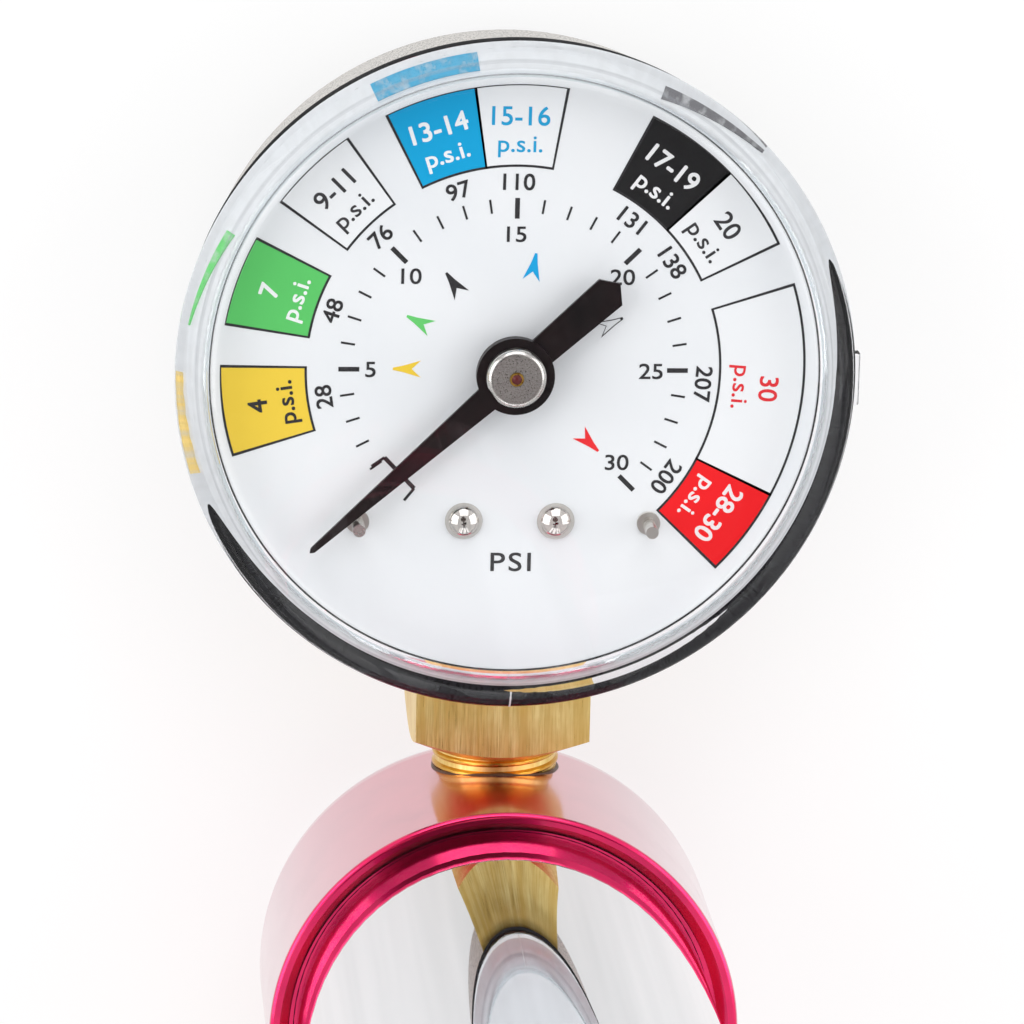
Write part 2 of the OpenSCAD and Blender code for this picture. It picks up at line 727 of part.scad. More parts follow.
// Domed nut in the handle's recess
module handle_nut() {
    color(silver)
        translate([0, 0, handle_seat_z])
            difference() {
                union() {
                    turned_hexagon(nut_flat, 4);
                    translate([0, 0, 3.4])
                        intersection() {
                            sphere(r = nut_flat / 2 - 0.6);
                            cylinder(r = nut_flat, h = nut_flat);
                        }
                }
                translate([0, 0, -1]) cylinder(r = rod_end_r + fixed_fit, h = 6.6);
            }
}

/* Gauge stem */

// Chamfer cone under the square flats, down to the thread: it meets the corners where the flats end
cone_slope = 0.46;
cone_r = stem_half * sqrt(2) + 1;
cone_start = stem_reach - cone_slope;
cone_len = (cone_r - thread_r) * cone_slope;
module gauge_stem() {
    color(brass)
        in_gauge() translate([0, 0, -stem_drop])
            difference() {
                union() {
                    intersection() {
                        translate([-stem_half, -stem_reach - cone_len, -stem_half])
                            cube([stem_flat, stem_reach + cone_len - case_in_r + 1, stem_flat]);
                        rotate([90, 0, 0])
                            union() {
                                cylinder(r = cone_r, h = cone_start);
                                translate([0, 0, cone_start])
                                    cylinder(r1 = cone_r, r2 = thread_r, h = cone_len);
                            }
                    }
                    rotate([90, 0, 0]) translate([0, 0, stem_reach])
                        cylinder(r1 = thread_r + 0.1, r2 = port_end_r, h = thread_end - stem_reach);
                    translate([-block_half, -case_in_r, stem_back])
                        cube([2 * block_half, case_in_r + block_top, block_front + stem_drop - stem_back]);
                    translate([-tongue_half, block_top - eps, stem_back])
                        cube([2 * tongue_half, tongue_top - block_top + eps,
                            back_plate_z + stem_drop - stem_back]);
                }
                rotate([90, 0, 0]) translate([0, 0, -block_top + tube_t]) cylinder(r = air_r, h = 40);
                translate([-stem_half + 1, -tube_r + 0.6, 0]) rotate([0, 90, 0])
                    cylinder(r = air_r * 0.6, h = stem_half);
                rotate([0, 0, tube_start_angle - 20])
                    rotate_extrude(angle = 22) tube_outline(tube_t + 2 * fixed_fit, tube_w + 2 * fixed_fit);
                for (side = [-1, 1]) {
                    translate([side * screw_x, screw_y, stem_back - 1]) cylinder(r = 0.85, h = 5, $fn = 24);
                    translate([side * movement_screw_x, movement_screw_y, 0])
                        translate([0, 0, back_plate_z + stem_drop - 2.5]) cylinder(r = 0.75, h = 5, $fn = 24);
                }
            }
}

/* Gauge casing */

// The case is straight behind the lens and tapers from there to its back
case_neck_z = -lens_lip - 0.4;
relief_y = 9;
relief_r = 4;
notch_len = 6.4;
module gauge_case() {
    color(steel)
        in_gauge()
            difference() {
                rotate_extrude()
                    polygon(concat(
                        [[0, case_back]],
                        arc([case_flat_r, case_back + case_edge_r], case_edge_r, -90, 0, 10),
                        [[case_r, case_neck_z], [case_r, rim_z], [case_in_r, rim_z],
                            [case_in_r, case_neck_z]],
                        arc([case_flat_r, case_back + case_edge_r], case_edge_r - case_wall, 0, -90, 10),
                        [[0, case_floor]]));
                translate([-stem_half - fixed_fit, -case_r - 1, -stem_drop - stem_half - fixed_fit])
                    cube([stem_flat + 2 * fixed_fit, notch_len, stem_flat + 2 * fixed_fit]);
                for (side = [-1, 1])
                    translate([side * screw_x, screw_y, case_back - 1]) cylinder(r = 1, h = 3, $fn = 24);
                translate([0, relief_y, case_back - 1]) cylinder(r = relief_r, h = 3);
            }
}
module case_screws() {
    color(steel)
        in_gauge()
            for (side = [-1, 1])
                translate([side * screw_x, screw_y, case_back])
                    difference() {
                        union() {
                            cylinder(r = 0.8, h = case_wall + 3.4, $fn = 24);
                            translate([0, 0, -1])
                                rotate_extrude($fn = 48)
                                    polygon([[0, 0], [screw_head_r - 0.7, 0], [screw_head_r, 0.5],
                                        [screw_head_r, 1], [0, 1]]);
                        }
                        translate([-3, -0.25, -1.1]) cube([6, 0.5, 0.6]);
                    }
}
module relief_plug() {
    color(rubber)
        in_gauge() translate([0, relief_y, case_back])
            rotate_extrude()
                polygon([[0, -0.9], [relief_r + 0.6, -0.9], [relief_r + 1, -0.5], [relief_r + 1, 0],
                    [relief_r - fixed_fit, 0], [relief_r - fixed_fit, case_wall],
                    [relief_r + 0.5, case_wall], [relief_r - 0.6, case_wall + 1.6], [0, case_wall + 1.6]]);
}

// Clear lens: flat window, rounded into a drafted side, and a lip over the case's edge
lens_draft = 0.6;
lens_seat_z = rim_z + 0.1;
tab_len = 4.2;
module gauge_lens() {
    color("white", 0.35)
        in_gauge() {
            rotate_extrude($fn = 180)
                polygon(concat(
                    [[case_r + running, -lens_lip], [lens_r - lens_draft - 0.1, -lens_lip]],
                    arc([lens_r - lens_edge_r, lens_h - lens_edge_r], lens_edge_r, 0, 90, 10),
                    [[0, lens_h], [0, lens_h - window_t]],
                    arc([lens_in_r - lens_fillet_r, lens_h - window_t - lens_fillet_r], lens_fillet_r,
                        90, 0, 10),
                    [[lens_in_r, lens_seat_z], [case_r + running, lens_seat_z]]));
            difference() {
                translate([lens_r - 1, -tab_len / 2, lens_h - lens_edge_r - 1.3])
                    cube([1.5, tab_len, 1.4]);
                cylinder(r = lens_r - 0.5, h = lens_h);
            }
        }
}

/* Dial, rivets and stop pins */

rivet_shank_r = 0.8;
module dial_plate() {
    color("white")
        in_gauge() translate([0, 0, -dial_t])
            difference() {
                cylinder(r = dial_r, h = dial_t);
                translate([0, 0, -1]) cylinder(r = boss_r - 0.6, h = dial_t + 2);
                for (side = [-1, 1])
                    translate([side * rivet_gap / 2, -rivet_drop, -1])
                        cylinder(r = rivet_shank_r + fixed_fit, h = dial_t + 2, $fn = 24);
                for (pin = [[low_pin_r, low_pin_angle], [high_pin_r, high_pin_angle]])
                    rotate([0, 0, pin[1]]) translate([pin[0], 0, -1])
                        cylinder(r = stop_pin_r + fixed_fit, h = dial_t + 2, $fn = 24);
            }
}
dial_post_h = -dial_t - front_plate_z - plate_t;
module dial_rivets() {
    color(silver)
        in_gauge()
            for (side = [-1, 1])
                translate([side * rivet_gap / 2, -rivet_drop, 0]) {
                    intersection() {
                        translate([0, 0, -0.55]) sphere(r = rivet_r * 1.06);
                        cylinder(r = rivet_r, h = rivet_r);
                    }
                    translate([0, 0, -dial_t - 2]) cylinder(r = rivet_shank_r, h = dial_t + 2.1, $fn = 24);
                }
}
module stop_pins() {
    color(silver)
        in_gauge()
            for (pin = [[low_pin_r, low_pin_angle], [high_pin_r, high_pin_angle]])
                rotate([0, 0, pin[1]]) translate([pin[0], 0, 0]) {
                    translate([0, 0, -dial_t - 0.4]) cylinder(r = stop_pin_r, h = dial_t + stop_pin_h + 0.4);
                    cylinder(r = stop_pin_r + 0.43, h = 0.35);
                    translate([0, 0, -dial_t - 0.4]) cylinder(r = stop_pin_r + 0.3, h = 0.4);
                }
}

/* Pointer and pinion */

hub_t = 0.9;
boss_t = 0.9;
boss_top = pointer_z + hub_t + boss_t;
boss_neck_r = 1.3;
module pointer() {
    color("black")
        in_gauge() rotate([0, 0, rest_angle])
            difference() {
                union() {
                    translate([0, 0, pointer_z]) cylinder(r = hub_r, h = hub_t);
                    translate([0, 0, pointer_z])
                        linear_extrude(pointer_t)
                            polygon([[0, needle_root_w / 2 + 0.1], [0, -needle_root_w / 2 - 0.1],
                                [needle_len - 0.3, -pointer_tip_half], [needle_len, 0],
                                [needle_len - 0.3, pointer_tip_half]]);
                    translate([0, 0, pointer_z])
                        linear_extrude(pointer_t)
                            polygon([[0, 1.1], [-tail_len + 1, tail_w / 2], [-tail_len, 0],
                                [-tail_len + 1, -tail_w / 2], [0, -1.1]]);
                }
                translate([0, 0, pointer_z - 1]) cylinder(r = boss_neck_r + fixed_fit, h = hub_t + 2);
            }
}
module pointer_boss() {
    color(silver)
        in_gauge()
            difference() {
                union() {
                    translate([0, 0, pointer_z - 0.9]) cylinder(r = boss_neck_r, h = hub_t + 1);
                    translate([0, 0, pointer_z + hub_t])
                        rotate_extrude()
                            polygon([[0, 0], [boss_r, 0], [boss_r, boss_t - 0.3],
                                [boss_r - 0.3, boss_t], [0, boss_t]]);
                }
                translate([0, 0, pointer_z - 2]) cylinder(r = arbor_r - 0.05 + fixed_fit, h = hub_t + 4);
            }
}

// Involute flanks for a gear of n teeth
function degrees_of(x) = x * 180 / PI;
function involute(angle) = degrees_of(tan(angle)) - angle;
function flank_angle(n, r) =
    let (pitch_r = tooth_module * n / 2, base_r = pitch_r * cos(pressure_angle),
        thick = degrees_of((PI * tooth_module / 2 - tooth_backlash) / 2 / pitch_r))
    thick + involute(pressure_angle) - involute(acos(min(1, base_r / max(r, base_r))));
module gear_tooth(n, root_r, tip_r) {
    base_r = max(root_r, tooth_module * n / 2 * cos(pressure_angle));
    radii = concat([root_r - 0.1], [for (i = [0:4]) base_r + (tip_r - base_r) * i / 4]);
    flank = [for (r = radii) [r, flank_angle(n, r)]];
    polygon(concat(
        [for (p = flank) p[0] * [cos(p[1]), -sin(p[1])]],
        [for (i = [len(flank) - 1:-1:0]) flank[i][0] * [cos(flank[i][1]), sin(flank[i][1])]]));
}
pinion_root_r = pinion_pitch_r - 0.62 * tooth_module;
pinion_tip_r = pinion_pitch_r + tooth_module;
sector_root_r = sector_pitch_r - 1.3 * tooth_module;
sector_tip_r = sector_pitch_r + 0.45 * tooth_module;
pinion_face = sector_t + 0.6;
module pinion_arbor() {
    color(brass)
        in_gauge() {
            translate([0, 0, plates_mid - pinion_face / 2]) linear_extrude(pinion_face) {
                circle(r = pinion_root_r);
                for (i = [0:pinion_teeth - 1])
                    rotate(sector_angle + (i + 0.5) * 360 / pinion_teeth)
                        gear_tooth(pinion_teeth, pinion_root_r, pinion_tip_r);
            }
            translate([0, 0, back_plate_z - 0.2])
                cylinder(r = arbor_r - 0.05, h = boss_top - back_plate_z + 0.25, $fn = 48);
            translate([0, 0, collet_z]) cylinder(r = collet_r, h = collet_h, $fn = 48);
        }
}
collet_r = 1.1;
collet_h = 1;
collet_z = back_plate_z + plate_t + 0.3;

// Flat spiral strip from the pinion's collet to a stud on the back plate
spiral_in = collet_r + 0.1;
spiral_out = 4.4;
strip_t = 0.14;
stud_angle = 100;
function spiral_radius(a) = spiral_in + (spiral_out - spiral_in) * a / (360 * hairspring_turns);
function spiral_edge(shift, step) = [for (a = [0:step:360 * hairspring_turns])
    (spiral_radius(a) + shift) * [cos(a + stud_angle), sin(a + stud_angle)]];
function reversed(list) = [for (i = [len(list) - 1:-1:0]) list[i]];
module hairspring() {
    color(steel)
        in_gauge() translate([0, 0, collet_z + 0.1])
            linear_extrude(collet_h - 0.2)
                polygon(concat(spiral_edge(-strip_t / 2, 18), reversed(spiral_edge(strip_t / 2, 18))));
}

/* Sector, tip and link */

toothed_from = sector_angle + 180 + 8;
toothed_to = sector_angle + 180 - sector_sweep - 8;
tooth_step = 360 / sector_teeth;
teeth_below = floor((sector_sweep + 8) / tooth_step);
rib_half = 1.3;
module spoke(length, angle, half) {
    rotate(angle) translate([0, -half]) square([length, 2 * half]);
}
module sector_gear() {
    color(brass)
        in_gauge() translate([sector_at[0], sector_at[1], 0])
            difference() {
                union() {
                    translate([0, 0, sector_z]) linear_extrude(sector_t) {
                        circle(r = 2.2);
                        intersection() {
                            difference() {
                                circle(r = sector_root_r);
                                circle(r = sector_root_r - 2);
                            }
                            polygon([[0, 0], 14 * [cos(toothed_to), sin(toothed_to)],
                                14 * [cos(toothed_from), sin(toothed_from)]]);
                        }
                        spoke(sector_root_r - 1, toothed_to + 6, rib_half / 2);
                        spoke(sector_root_r - 1, toothed_from - 6, rib_half / 2);
                        for (i = [-1:teeth_below])
                            rotate(sector_angle + 180 - i * tooth_step)
                                gear_tooth(sector_teeth, sector_root_r, sector_tip_r);
                        spoke(tail_pin_r, tail_pin_angle, rib_half);
                        rotate(tail_pin_angle) translate([tail_pin_r, 0]) circle(r = rib_half);
                    }
                    translate([0, 0, sector_z])
                        rotate([0, 0, tail_pin_angle]) translate([tail_pin_r, 0, 0])
                            cylinder(r = pivot_r, h = sector_t + link_t + 0.6, $fn = 48);
                }
                translate([0, 0, sector_z - 1]) cylinder(r = arbor_r + fixed_fit, h = sector_t + 2, $fn = 48);
            }
}
module sector_arbor() {
    color(steel)
        in_gauge() translate([sector_at[0], sector_at[1], back_plate_z - 0.2])
            cylinder(r = arbor_r, h = plate_gap + 2 * plate_t + 0.4, $fn = 48);
}
ear_t = 0.8;
ear_z = link_z - 0.1 - ear_t;
plug_arc = 6;
module tube_tip() {
    color(brass)
        in_gauge() {
            translate([0, 0, -stem_drop])
                rotate([0, 0, tube_end_angle - plug_arc])
                    rotate_extrude(angle = plug_arc - 0.1) tube_outline(tube_t, tube_w);
            rotate([0, 0, tube_end_angle]) translate([0, 0, ear_z]) {
                translate([tip_pin_r, 0, 0]) cylinder(r = rib_half, h = ear_t, $fn = 48);
                translate([tip_pin_r, -rib_half, 0])
                    cube([tube_r - tube_t / 2 - tip_pin_r - 0.2, 2 * rib_half - 0.4, ear_t]);
                translate([tip_pin_r, -rib_half, 0])
                    cube([tube_r - tip_pin_r, rib_half, ear_t]);
                translate([tip_pin_r, 0, 0]) cylinder(r = pivot_r, h = ear_t + link_t + 0.6, $fn = 48);
            }
        }
}
module tip_link() {
    color(steel)
        in_gauge() translate([tail_pin[0], tail_pin[1], link_z]) rotate([0, 0, link_angle])
            difference() {
                union() {
                    cylinder(r = 1.3, h = link_t, $fn = 48);
                    translate([link_len, 0, 0]) cylinder(r = 1.1, h = link_t, $fn = 48);
                    translate([0, -0.6, 0]) cube([link_len, 1.2, link_t]);
                }
                translate([0, 0, -1]) cylinder(r = pivot_r + pivot_play, h = link_t + 2, $fn = 48);
                translate([link_len, 0, -1]) cylinder(r = pivot_r + running, h = link_t + 2, $fn = 48);
            }
}

/* Movement frame and pressure tube */

pillars = [[-8.2, 4.6], [8.2, 4.6], [-8.2, -12.4]];
plate_half = 10.2;
plate_bottom = tongue_top - 4;
plate_h = 22.2;
pillar_neck_r = 0.7;
through = 20;
module plate_outline() {
    difference() {
        intersection() {
            translate([-plate_half, plate_bottom]) square([2 * plate_half, plate_h]);
            circle(r = tube_r - tube_t / 2 - 0.8);
        }
        for (side = [-1, 1])
            translate([side * plate_half, plate_bottom + plate_h]) rotate(45) square(3, center = true);
    }
}
module plate_holes() {
    cylinder(r = arbor_r - 0.05 + running, h = 2 * through, center = true, $fn = 48);
    translate([sector_at[0], sector_at[1], 0])
        cylinder(r = arbor_r + running, h = 2 * through, center = true, $fn = 48);
    for (p = pillars)
        translate([p[0], p[1], 0])
            cylinder(r = pillar_neck_r + fixed_fit, h = 2 * through, center = true, $fn = 24);
}
module movement_back() {
    color(brass)
        in_gauge()
            difference() {
                union() {
                    translate([0, 0, back_plate_z]) linear_extrude(plate_t) plate_outline();
                    rotate([0, 0, stud_angle]) translate([spiral_out + 0.75, 0, back_plate_z + eps])
                        cylinder(r = 0.6, h = plate_t + 1.4, $fn = 24);
                }
                plate_holes();
                for (side = [-1, 1])
                    translate([side * movement_screw_x, movement_screw_y, 0])
                        cylinder(r = 0.8, h = 2 * through, center = true, $fn = 24);
            }
}
module movement_front() {
    color(brass)
        in_gauge()
            difference() {
                union() {
                    translate([0, 0, front_plate_z]) linear_extrude(plate_t)
                        difference() {
                            plate_outline();
                            translate([0, plate_bottom]) circle(r = 1.8);
                        }
                    for (side = [-1, 1])
                        translate([side * rivet_gap / 2, -rivet_drop, front_plate_z + eps])
                            cylinder(r = 1.7, h = plate_t + dial_post_h - eps, $fn = 48);
                }
                plate_holes();
                for (side = [-1, 1]) {
                    translate([side * rivet_gap / 2, -rivet_drop, 0])
                        cylinder(r = rivet_shank_r + fixed_fit, h = 2 * through, center = true, $fn = 24);
                    translate([side * movement_screw_x, movement_screw_y, -through])
                        cylinder(r = 1.5, h = through + front_plate_z + plate_t, $fn = 24);
                }
            }
}
module movement_pillars() {
    color(brass)
        in_gauge()
            for (p = pillars)
                translate([p[0], p[1], back_plate_z - 0.2]) {
                    cylinder(r = pillar_neck_r, h = plate_gap + 2 * plate_t + 0.5, $fn = 24);
                    translate([0, 0, plate_t + 0.2]) cylinder(r = 1.2, h = plate_gap, $fn = 48);
                }
}
module movement_screws() {
    color(steel)
        in_gauge()
            for (side = [-1, 1])
                translate([side * movement_screw_x, movement_screw_y, back_plate_z + plate_t])
                    difference() {
                        union() {
                            translate([0, 0, -plate_t - 2.2]) cylinder(r = 0.7, h = plate_t + 2.3, $fn = 24);
                            cylinder(r = 1.35, h = 0.9, $fn = 48);
                        }
                        translate([-2, -0.2, 0.5]) cube([4, 0.4, 1]);
                    }
}

// Flattened tube's section, standing along the gauge's axis
module tube_outline(t, w) {
    translate([tube_r - t / 2, -w / 2 + t / 2]) square([t, w - t]);
    for (side = [-1, 1])
        translate([tube_r, side * (w / 2 - t / 2)]) circle(r = t / 2, $fn = 48);
}
module bourdon_tube() {
    color(brass)
        in_gauge() translate([0, 0, -stem_drop])
            rotate([0, 0, tube_end_angle])
                rotate_extrude(angle = tube_start_angle - tube_end_angle)
                    difference() {
                        tube_outline(tube_t, tube_w);
                        tube_outline(tube_t - 2 * tube_wall, tube_w - 2 * tube_wall);
                    }
}

pump_head();
base_plug();
check_ball();
check_spring();
bleed_body();
bleed_button();
bleed_seal();
bleed_spring();
outlet_plug();
barrel_gasket();
barrel();
gland_cap();
rod_bush();
plunger_rod();
piston();
piston_cup();
cup_washer();
piston_nut();
bumper();
handle();
handle_nut();
gauge_stem();
gauge_case();
case_screws();
relief_plug();
gauge_lens();
dial_plate();
dial_rivets();
stop_pins();
pointer();
pointer_boss();
pinion_arbor();
hairspring();
sector_gear();
sector_arbor();
movement_back();
movement_front();
movement_pillars();
movement_screws();
bourdon_tube();
tube_tip();
tip_link();
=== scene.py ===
"""Looks of a radiator pressure tester: a hand pump with a dial gauge screwed into the side of its head.

Lengths are in millimetres, as the makers of such parts write them, except those of the studio's floor,
lamps and cards, which are in metres. Meshes go to Blender in metres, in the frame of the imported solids:
the origin is the middle of the resting face, +Z runs up the barrel and +Y points from the barrel to the
gauge.
"""

import json
import logging
import math
from dataclasses import dataclass
from enum import Enum
from typing import ClassVar, Protocol

import bmesh
import bpy
import numpy as np
from mathutils import Matrix, Vector

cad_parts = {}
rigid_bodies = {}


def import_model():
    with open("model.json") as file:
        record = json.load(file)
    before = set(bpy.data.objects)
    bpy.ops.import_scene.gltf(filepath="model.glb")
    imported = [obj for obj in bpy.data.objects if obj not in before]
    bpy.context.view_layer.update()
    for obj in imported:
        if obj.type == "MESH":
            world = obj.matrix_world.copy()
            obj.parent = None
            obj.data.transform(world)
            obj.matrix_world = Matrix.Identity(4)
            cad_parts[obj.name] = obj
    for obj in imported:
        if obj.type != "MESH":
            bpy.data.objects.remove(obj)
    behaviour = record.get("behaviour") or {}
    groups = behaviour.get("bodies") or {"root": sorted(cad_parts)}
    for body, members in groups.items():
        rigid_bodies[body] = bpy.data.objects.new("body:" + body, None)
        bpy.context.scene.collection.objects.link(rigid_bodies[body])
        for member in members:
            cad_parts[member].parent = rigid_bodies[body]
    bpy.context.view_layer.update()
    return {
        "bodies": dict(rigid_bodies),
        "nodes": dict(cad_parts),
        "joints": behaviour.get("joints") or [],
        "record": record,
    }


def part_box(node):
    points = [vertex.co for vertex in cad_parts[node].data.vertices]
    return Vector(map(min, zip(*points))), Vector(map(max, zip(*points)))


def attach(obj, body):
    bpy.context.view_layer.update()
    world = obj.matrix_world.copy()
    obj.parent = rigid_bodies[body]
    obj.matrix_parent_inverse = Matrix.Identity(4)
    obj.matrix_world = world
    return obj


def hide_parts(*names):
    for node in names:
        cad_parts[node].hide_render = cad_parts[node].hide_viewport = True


Tree = bpy.types.NodeTree
Socket = bpy.types.NodeSocket
Colour = tuple[float, float, float, float]
Point = tuple[float, float]
Solid = tuple[np.ndarray, list[list[int]]]

LOG = logging.getLogger("pressure_tester")
MM = 0.001
# Where the gauge's upright axis stands, and where the lens's lip ends on the case
GAUGE_Y = 53.3
LIP_Z = 19.2
# Most of a noise texture's values lie between these two
NOISE_LOW, NOISE_HIGH = 0.3, 0.7
# A capital's height as a share of Blender's type size
CAPITAL = 0.729
# How much higher the front of each copy of a letter stands, so that no two fronts lie in one plane
COPY_STEP = 0.0015


def linear(hex_colour: str) -> Colour:
    """Turns an sRGB hex colour into the linear colour that a shader takes.

    Args:
        hex_colour: six hex digits after a hash sign.

    Returns:
        Red, green, blue and an alpha of 1.
    """
    parts = [int(hex_colour[i : i + 2], 16) / 255 for i in (1, 3, 5)]
    light = [c / 12.92 if c <= 0.04045 else ((c + 0.055) / 1.055) ** 2.4 for c in parts]
    return (light[0], light[1], light[2], 1.0)


def per_metre(size_mm: float) -> float:
    """Gives the texture scale at which a pattern repeats about every size_mm."""
    return 1.0 / (size_mm * MM)


def add_node(tree: Tree, kind: str, inputs: dict[str | int, object] | None = None,
             **settings: object) -> bpy.types.Node:
    """Adds one shader node with its settings and links.

    Args:
        tree: the material's or world's node tree.
        kind: Blender's name for the kind of node.
        inputs: for a socket's name or number, a plain value or the output that feeds it.
        settings: the node's own properties.

    Returns:
        The new node.
    """
    made = tree.nodes.new(kind)
    for name, value in settings.items():
        setattr(made, name, value)
    for key, value in (inputs or {}).items():
        if isinstance(value, Socket):
            tree.links.new(value, made.inputs[key])
        else:
            made.inputs[key].default_value = value
    return made


def blank_material(name: str) -> bpy.types.Material:
    """Makes a material with an empty node tree.

    Args:
        name: the material's name.

    Returns:
        The material.
    """
    made = bpy.data.materials.new(name)
    made.use_nodes = True
    made.node_tree.nodes.clear()
    return made


# ---------------------------------------------------------------- finishes


class Grain(Enum):
    """Which way a tool's marks run on a surface, as the share of the pattern's scale on X, Y and Z."""

    EVEN = (1.0, 1.0, 1.0)
    ALONG_Y = (1.0, 0.03, 1.0)
    ALONG_Z = (1.0, 1.0, 0.03)
    ROUND_Y = (0.02, 1.0, 0.02)
    ROUND_Z = (0.02, 0.02, 1.0)


@dataclass(frozen=True)
class Paint:
    """A material while a finish is built in it: its node tree, and the piece's own coordinates in metres."""

    tree: Tree
    place: Socket

    def marks(self, grain: Grain, size_mm: float, detail: float = 3.0) -> Socket:
        """Noise drawn out along the way a tool's marks run.

        Args:
            grain: which way the marks run.
            size_mm: distance between marks.
            detail: octaves of finer marks.

        Returns:
            A value about 0.5, between 0 and 1.
        """
        scaled = add_node(self.tree, "ShaderNodeMapping", {"Vector": self.place, "Scale": grain.value})
        noise = add_node(self.tree, "ShaderNodeTexNoise",
                         {"Vector": scaled.outputs[0], "Scale": per_metre(size_mm), "Detail": detail,
                          "Roughness": 0.6})
        return noise.outputs[0]

    def radius(self) -> Socket:
        """Works out the distance from the gauge's axis, which stands upright at y = GAUGE_Y.

        Returns:
            The root of x squared plus (y - GAUGE_Y) squared, in metres.
        """
        level = add_node(self.tree, "ShaderNodeVectorMath", {0: self.place, 1: (1.0, 1.0, 0.0)},
                         operation="MULTIPLY")
        centred = add_node(self.tree, "ShaderNodeVectorMath",
                           {0: level.outputs[0], 1: (0.0, GAUGE_Y * MM, 0.0)}, operation="SUBTRACT")
        length = add_node(self.tree, "ShaderNodeVectorMath", {0: centred.outputs[0]}, operation="LENGTH")
        return length.outputs["Value"]

    def shades(self, pattern: Socket, first: str | Socket, second: str, start: float = NOISE_LOW,
               end: float = NOISE_HIGH, low: float = 0.0, high: float = 1.0) -> Socket:
        """Goes from one colour towards another as a pattern's value goes from start to end.

        Args:
            pattern: the value that the colour follows.
            first: the colour under the second one, in hex or from another node.
            second: the colour over it, in hex.
            start: the pattern's value where the change begins.
            end: its value where the change is complete.
            low: how much of the second colour shows at the start.
            high: how much of it shows at the end.

        Returns:
            The mixed colour.
        """
        share = add_node(self.tree, "ShaderNodeMapRange",
                         {"Value": pattern, "From Min": start, "From Max": end, "To Min": low,
                          "To Max": high})
        ground = linear(first) if isinstance(first, str) else first
        mixed = add_node(self.tree, "ShaderNodeMix", {0: share.outputs[0], 6: ground, 7: linear(second)},
                         data_type="RGBA")
        return mixed.outputs[2]

    def coat(self, colour: Socket, worn: Socket, rough: tuple[float, float],
             bumps: tuple[Socket, float, float] | None = None, **more: object) -> Socket:
        """Ends a finish: a shader whose roughness follows a pattern, with another pattern as its relief.

        Args:
            colour: the colour of the surface.
            worn: the pattern that the roughness follows.
            rough: the roughness where that pattern is low, and where it is high.
            bumps: the relief's pattern, its depth in millimetres and its strength.
            more: the shader's other inputs, with low lines for the blanks in their names.

        Returns:
            The shader.
        """
        sheen = add_node(self.tree, "ShaderNodeMapRange",
                         {"Value": worn, "From Min": NOISE_LOW, "From Max": NOISE_HIGH, "To Min": rough[0],
                          "To Max": rough[1]})
        inputs = {"Base Color": colour, "Roughness": sheen.outputs[0]}
        inputs.update({name.replace("_", " "): value for name, value in more.items()})
        if bumps is not None:
            height, depth_mm, strength = bumps
            relief = add_node(self.tree, "ShaderNodeBump",
                              {"Height": height, "Distance": depth_mm * MM, "Strength": strength})
            inputs["Normal"] = relief.outputs[0]
        return add_node(self.tree, "ShaderNodeBsdfPrincipled", inputs).outputs[0]


@dataclass(frozen=True)
class Finish:
    """A surface finish, made as one procedural material. Subclasses add what the real one shows."""

    name: str = "plain"

    def material(self) -> bpy.types.Material:
        """Makes the material, or takes the one that was made before.

        Returns:
            The material, named for this finish.
        """
        name = "finish_" + self.name
        made = bpy.data.materials.get(name)
        if made is None:
            made = blank_material(name)
            tree = made.node_tree
            place = add_node(tree, "ShaderNodeTexCoord").outputs["Object"]
            add_node(tree, "ShaderNodeOutputMaterial", {"Surface": self.surface(Paint(tree, place))})
        return made

    def surface(self, paint: Paint) -> Socket:
        """Builds the finish's nodes in the paint and returns the shader. Each finish has its own."""
        raise NotImplementedError


@dataclass(frozen=True)
class AnodisedAluminium(Finish):
    """Turned and polished aluminium, dyed in its anodic film: deep colour over a mirror.

    The dye tints what is seen straight through it, and a pale painted sheen is mixed into its colour where
    it is seen side on.
    """

    name: str = "pink_anodised_aluminium"
    colour: str = "#F02463"
    dark: str = "#D9145A"
    # colour of the painted sheen, mixed in where the metal is seen side on
    painted_sheen: str = "#DFCBD0"
    rough: tuple[float, float] = (0.13, 0.21)
    cloud_mm: float = 6.0
    rings_mm: float = 0.12
    depth_mm: float = 0.002
    film: float = 0.4
    film_ior: float = 1.65
    grain: Grain = Grain.ROUND_Z

    def surface(self, paint: Paint) -> Socket:
        """Dyes the metal in faint clouds, mixes a pale painted sheen into its colour where it is seen side
        on, and turns fine rings into it.

        Args:
            paint: where the nodes go.

        Returns:
            The shader.
        """
        rings = paint.marks(self.grain, self.rings_mm, 2.0)
        clouds = paint.marks(Grain.EVEN, self.cloud_mm)
        dyed = paint.shades(clouds, self.colour, self.dark)
        facing = add_node(paint.tree, "ShaderNodeLayerWeight", {"Blend": 0.5}).outputs["Facing"]
        # painted sheen: the colour goes towards a pale pink where the surface is seen side on
        colour = paint.shades(facing, dyed, self.painted_sheen, start=0.3, end=0.85, high=0.9)
        return paint.coat(colour, clouds, self.rough, (rings, self.depth_mm, 0.6), Metallic=1.0,
                          Coat_Weight=self.film, Coat_Roughness=0.05, Coat_IOR=self.film_ior)


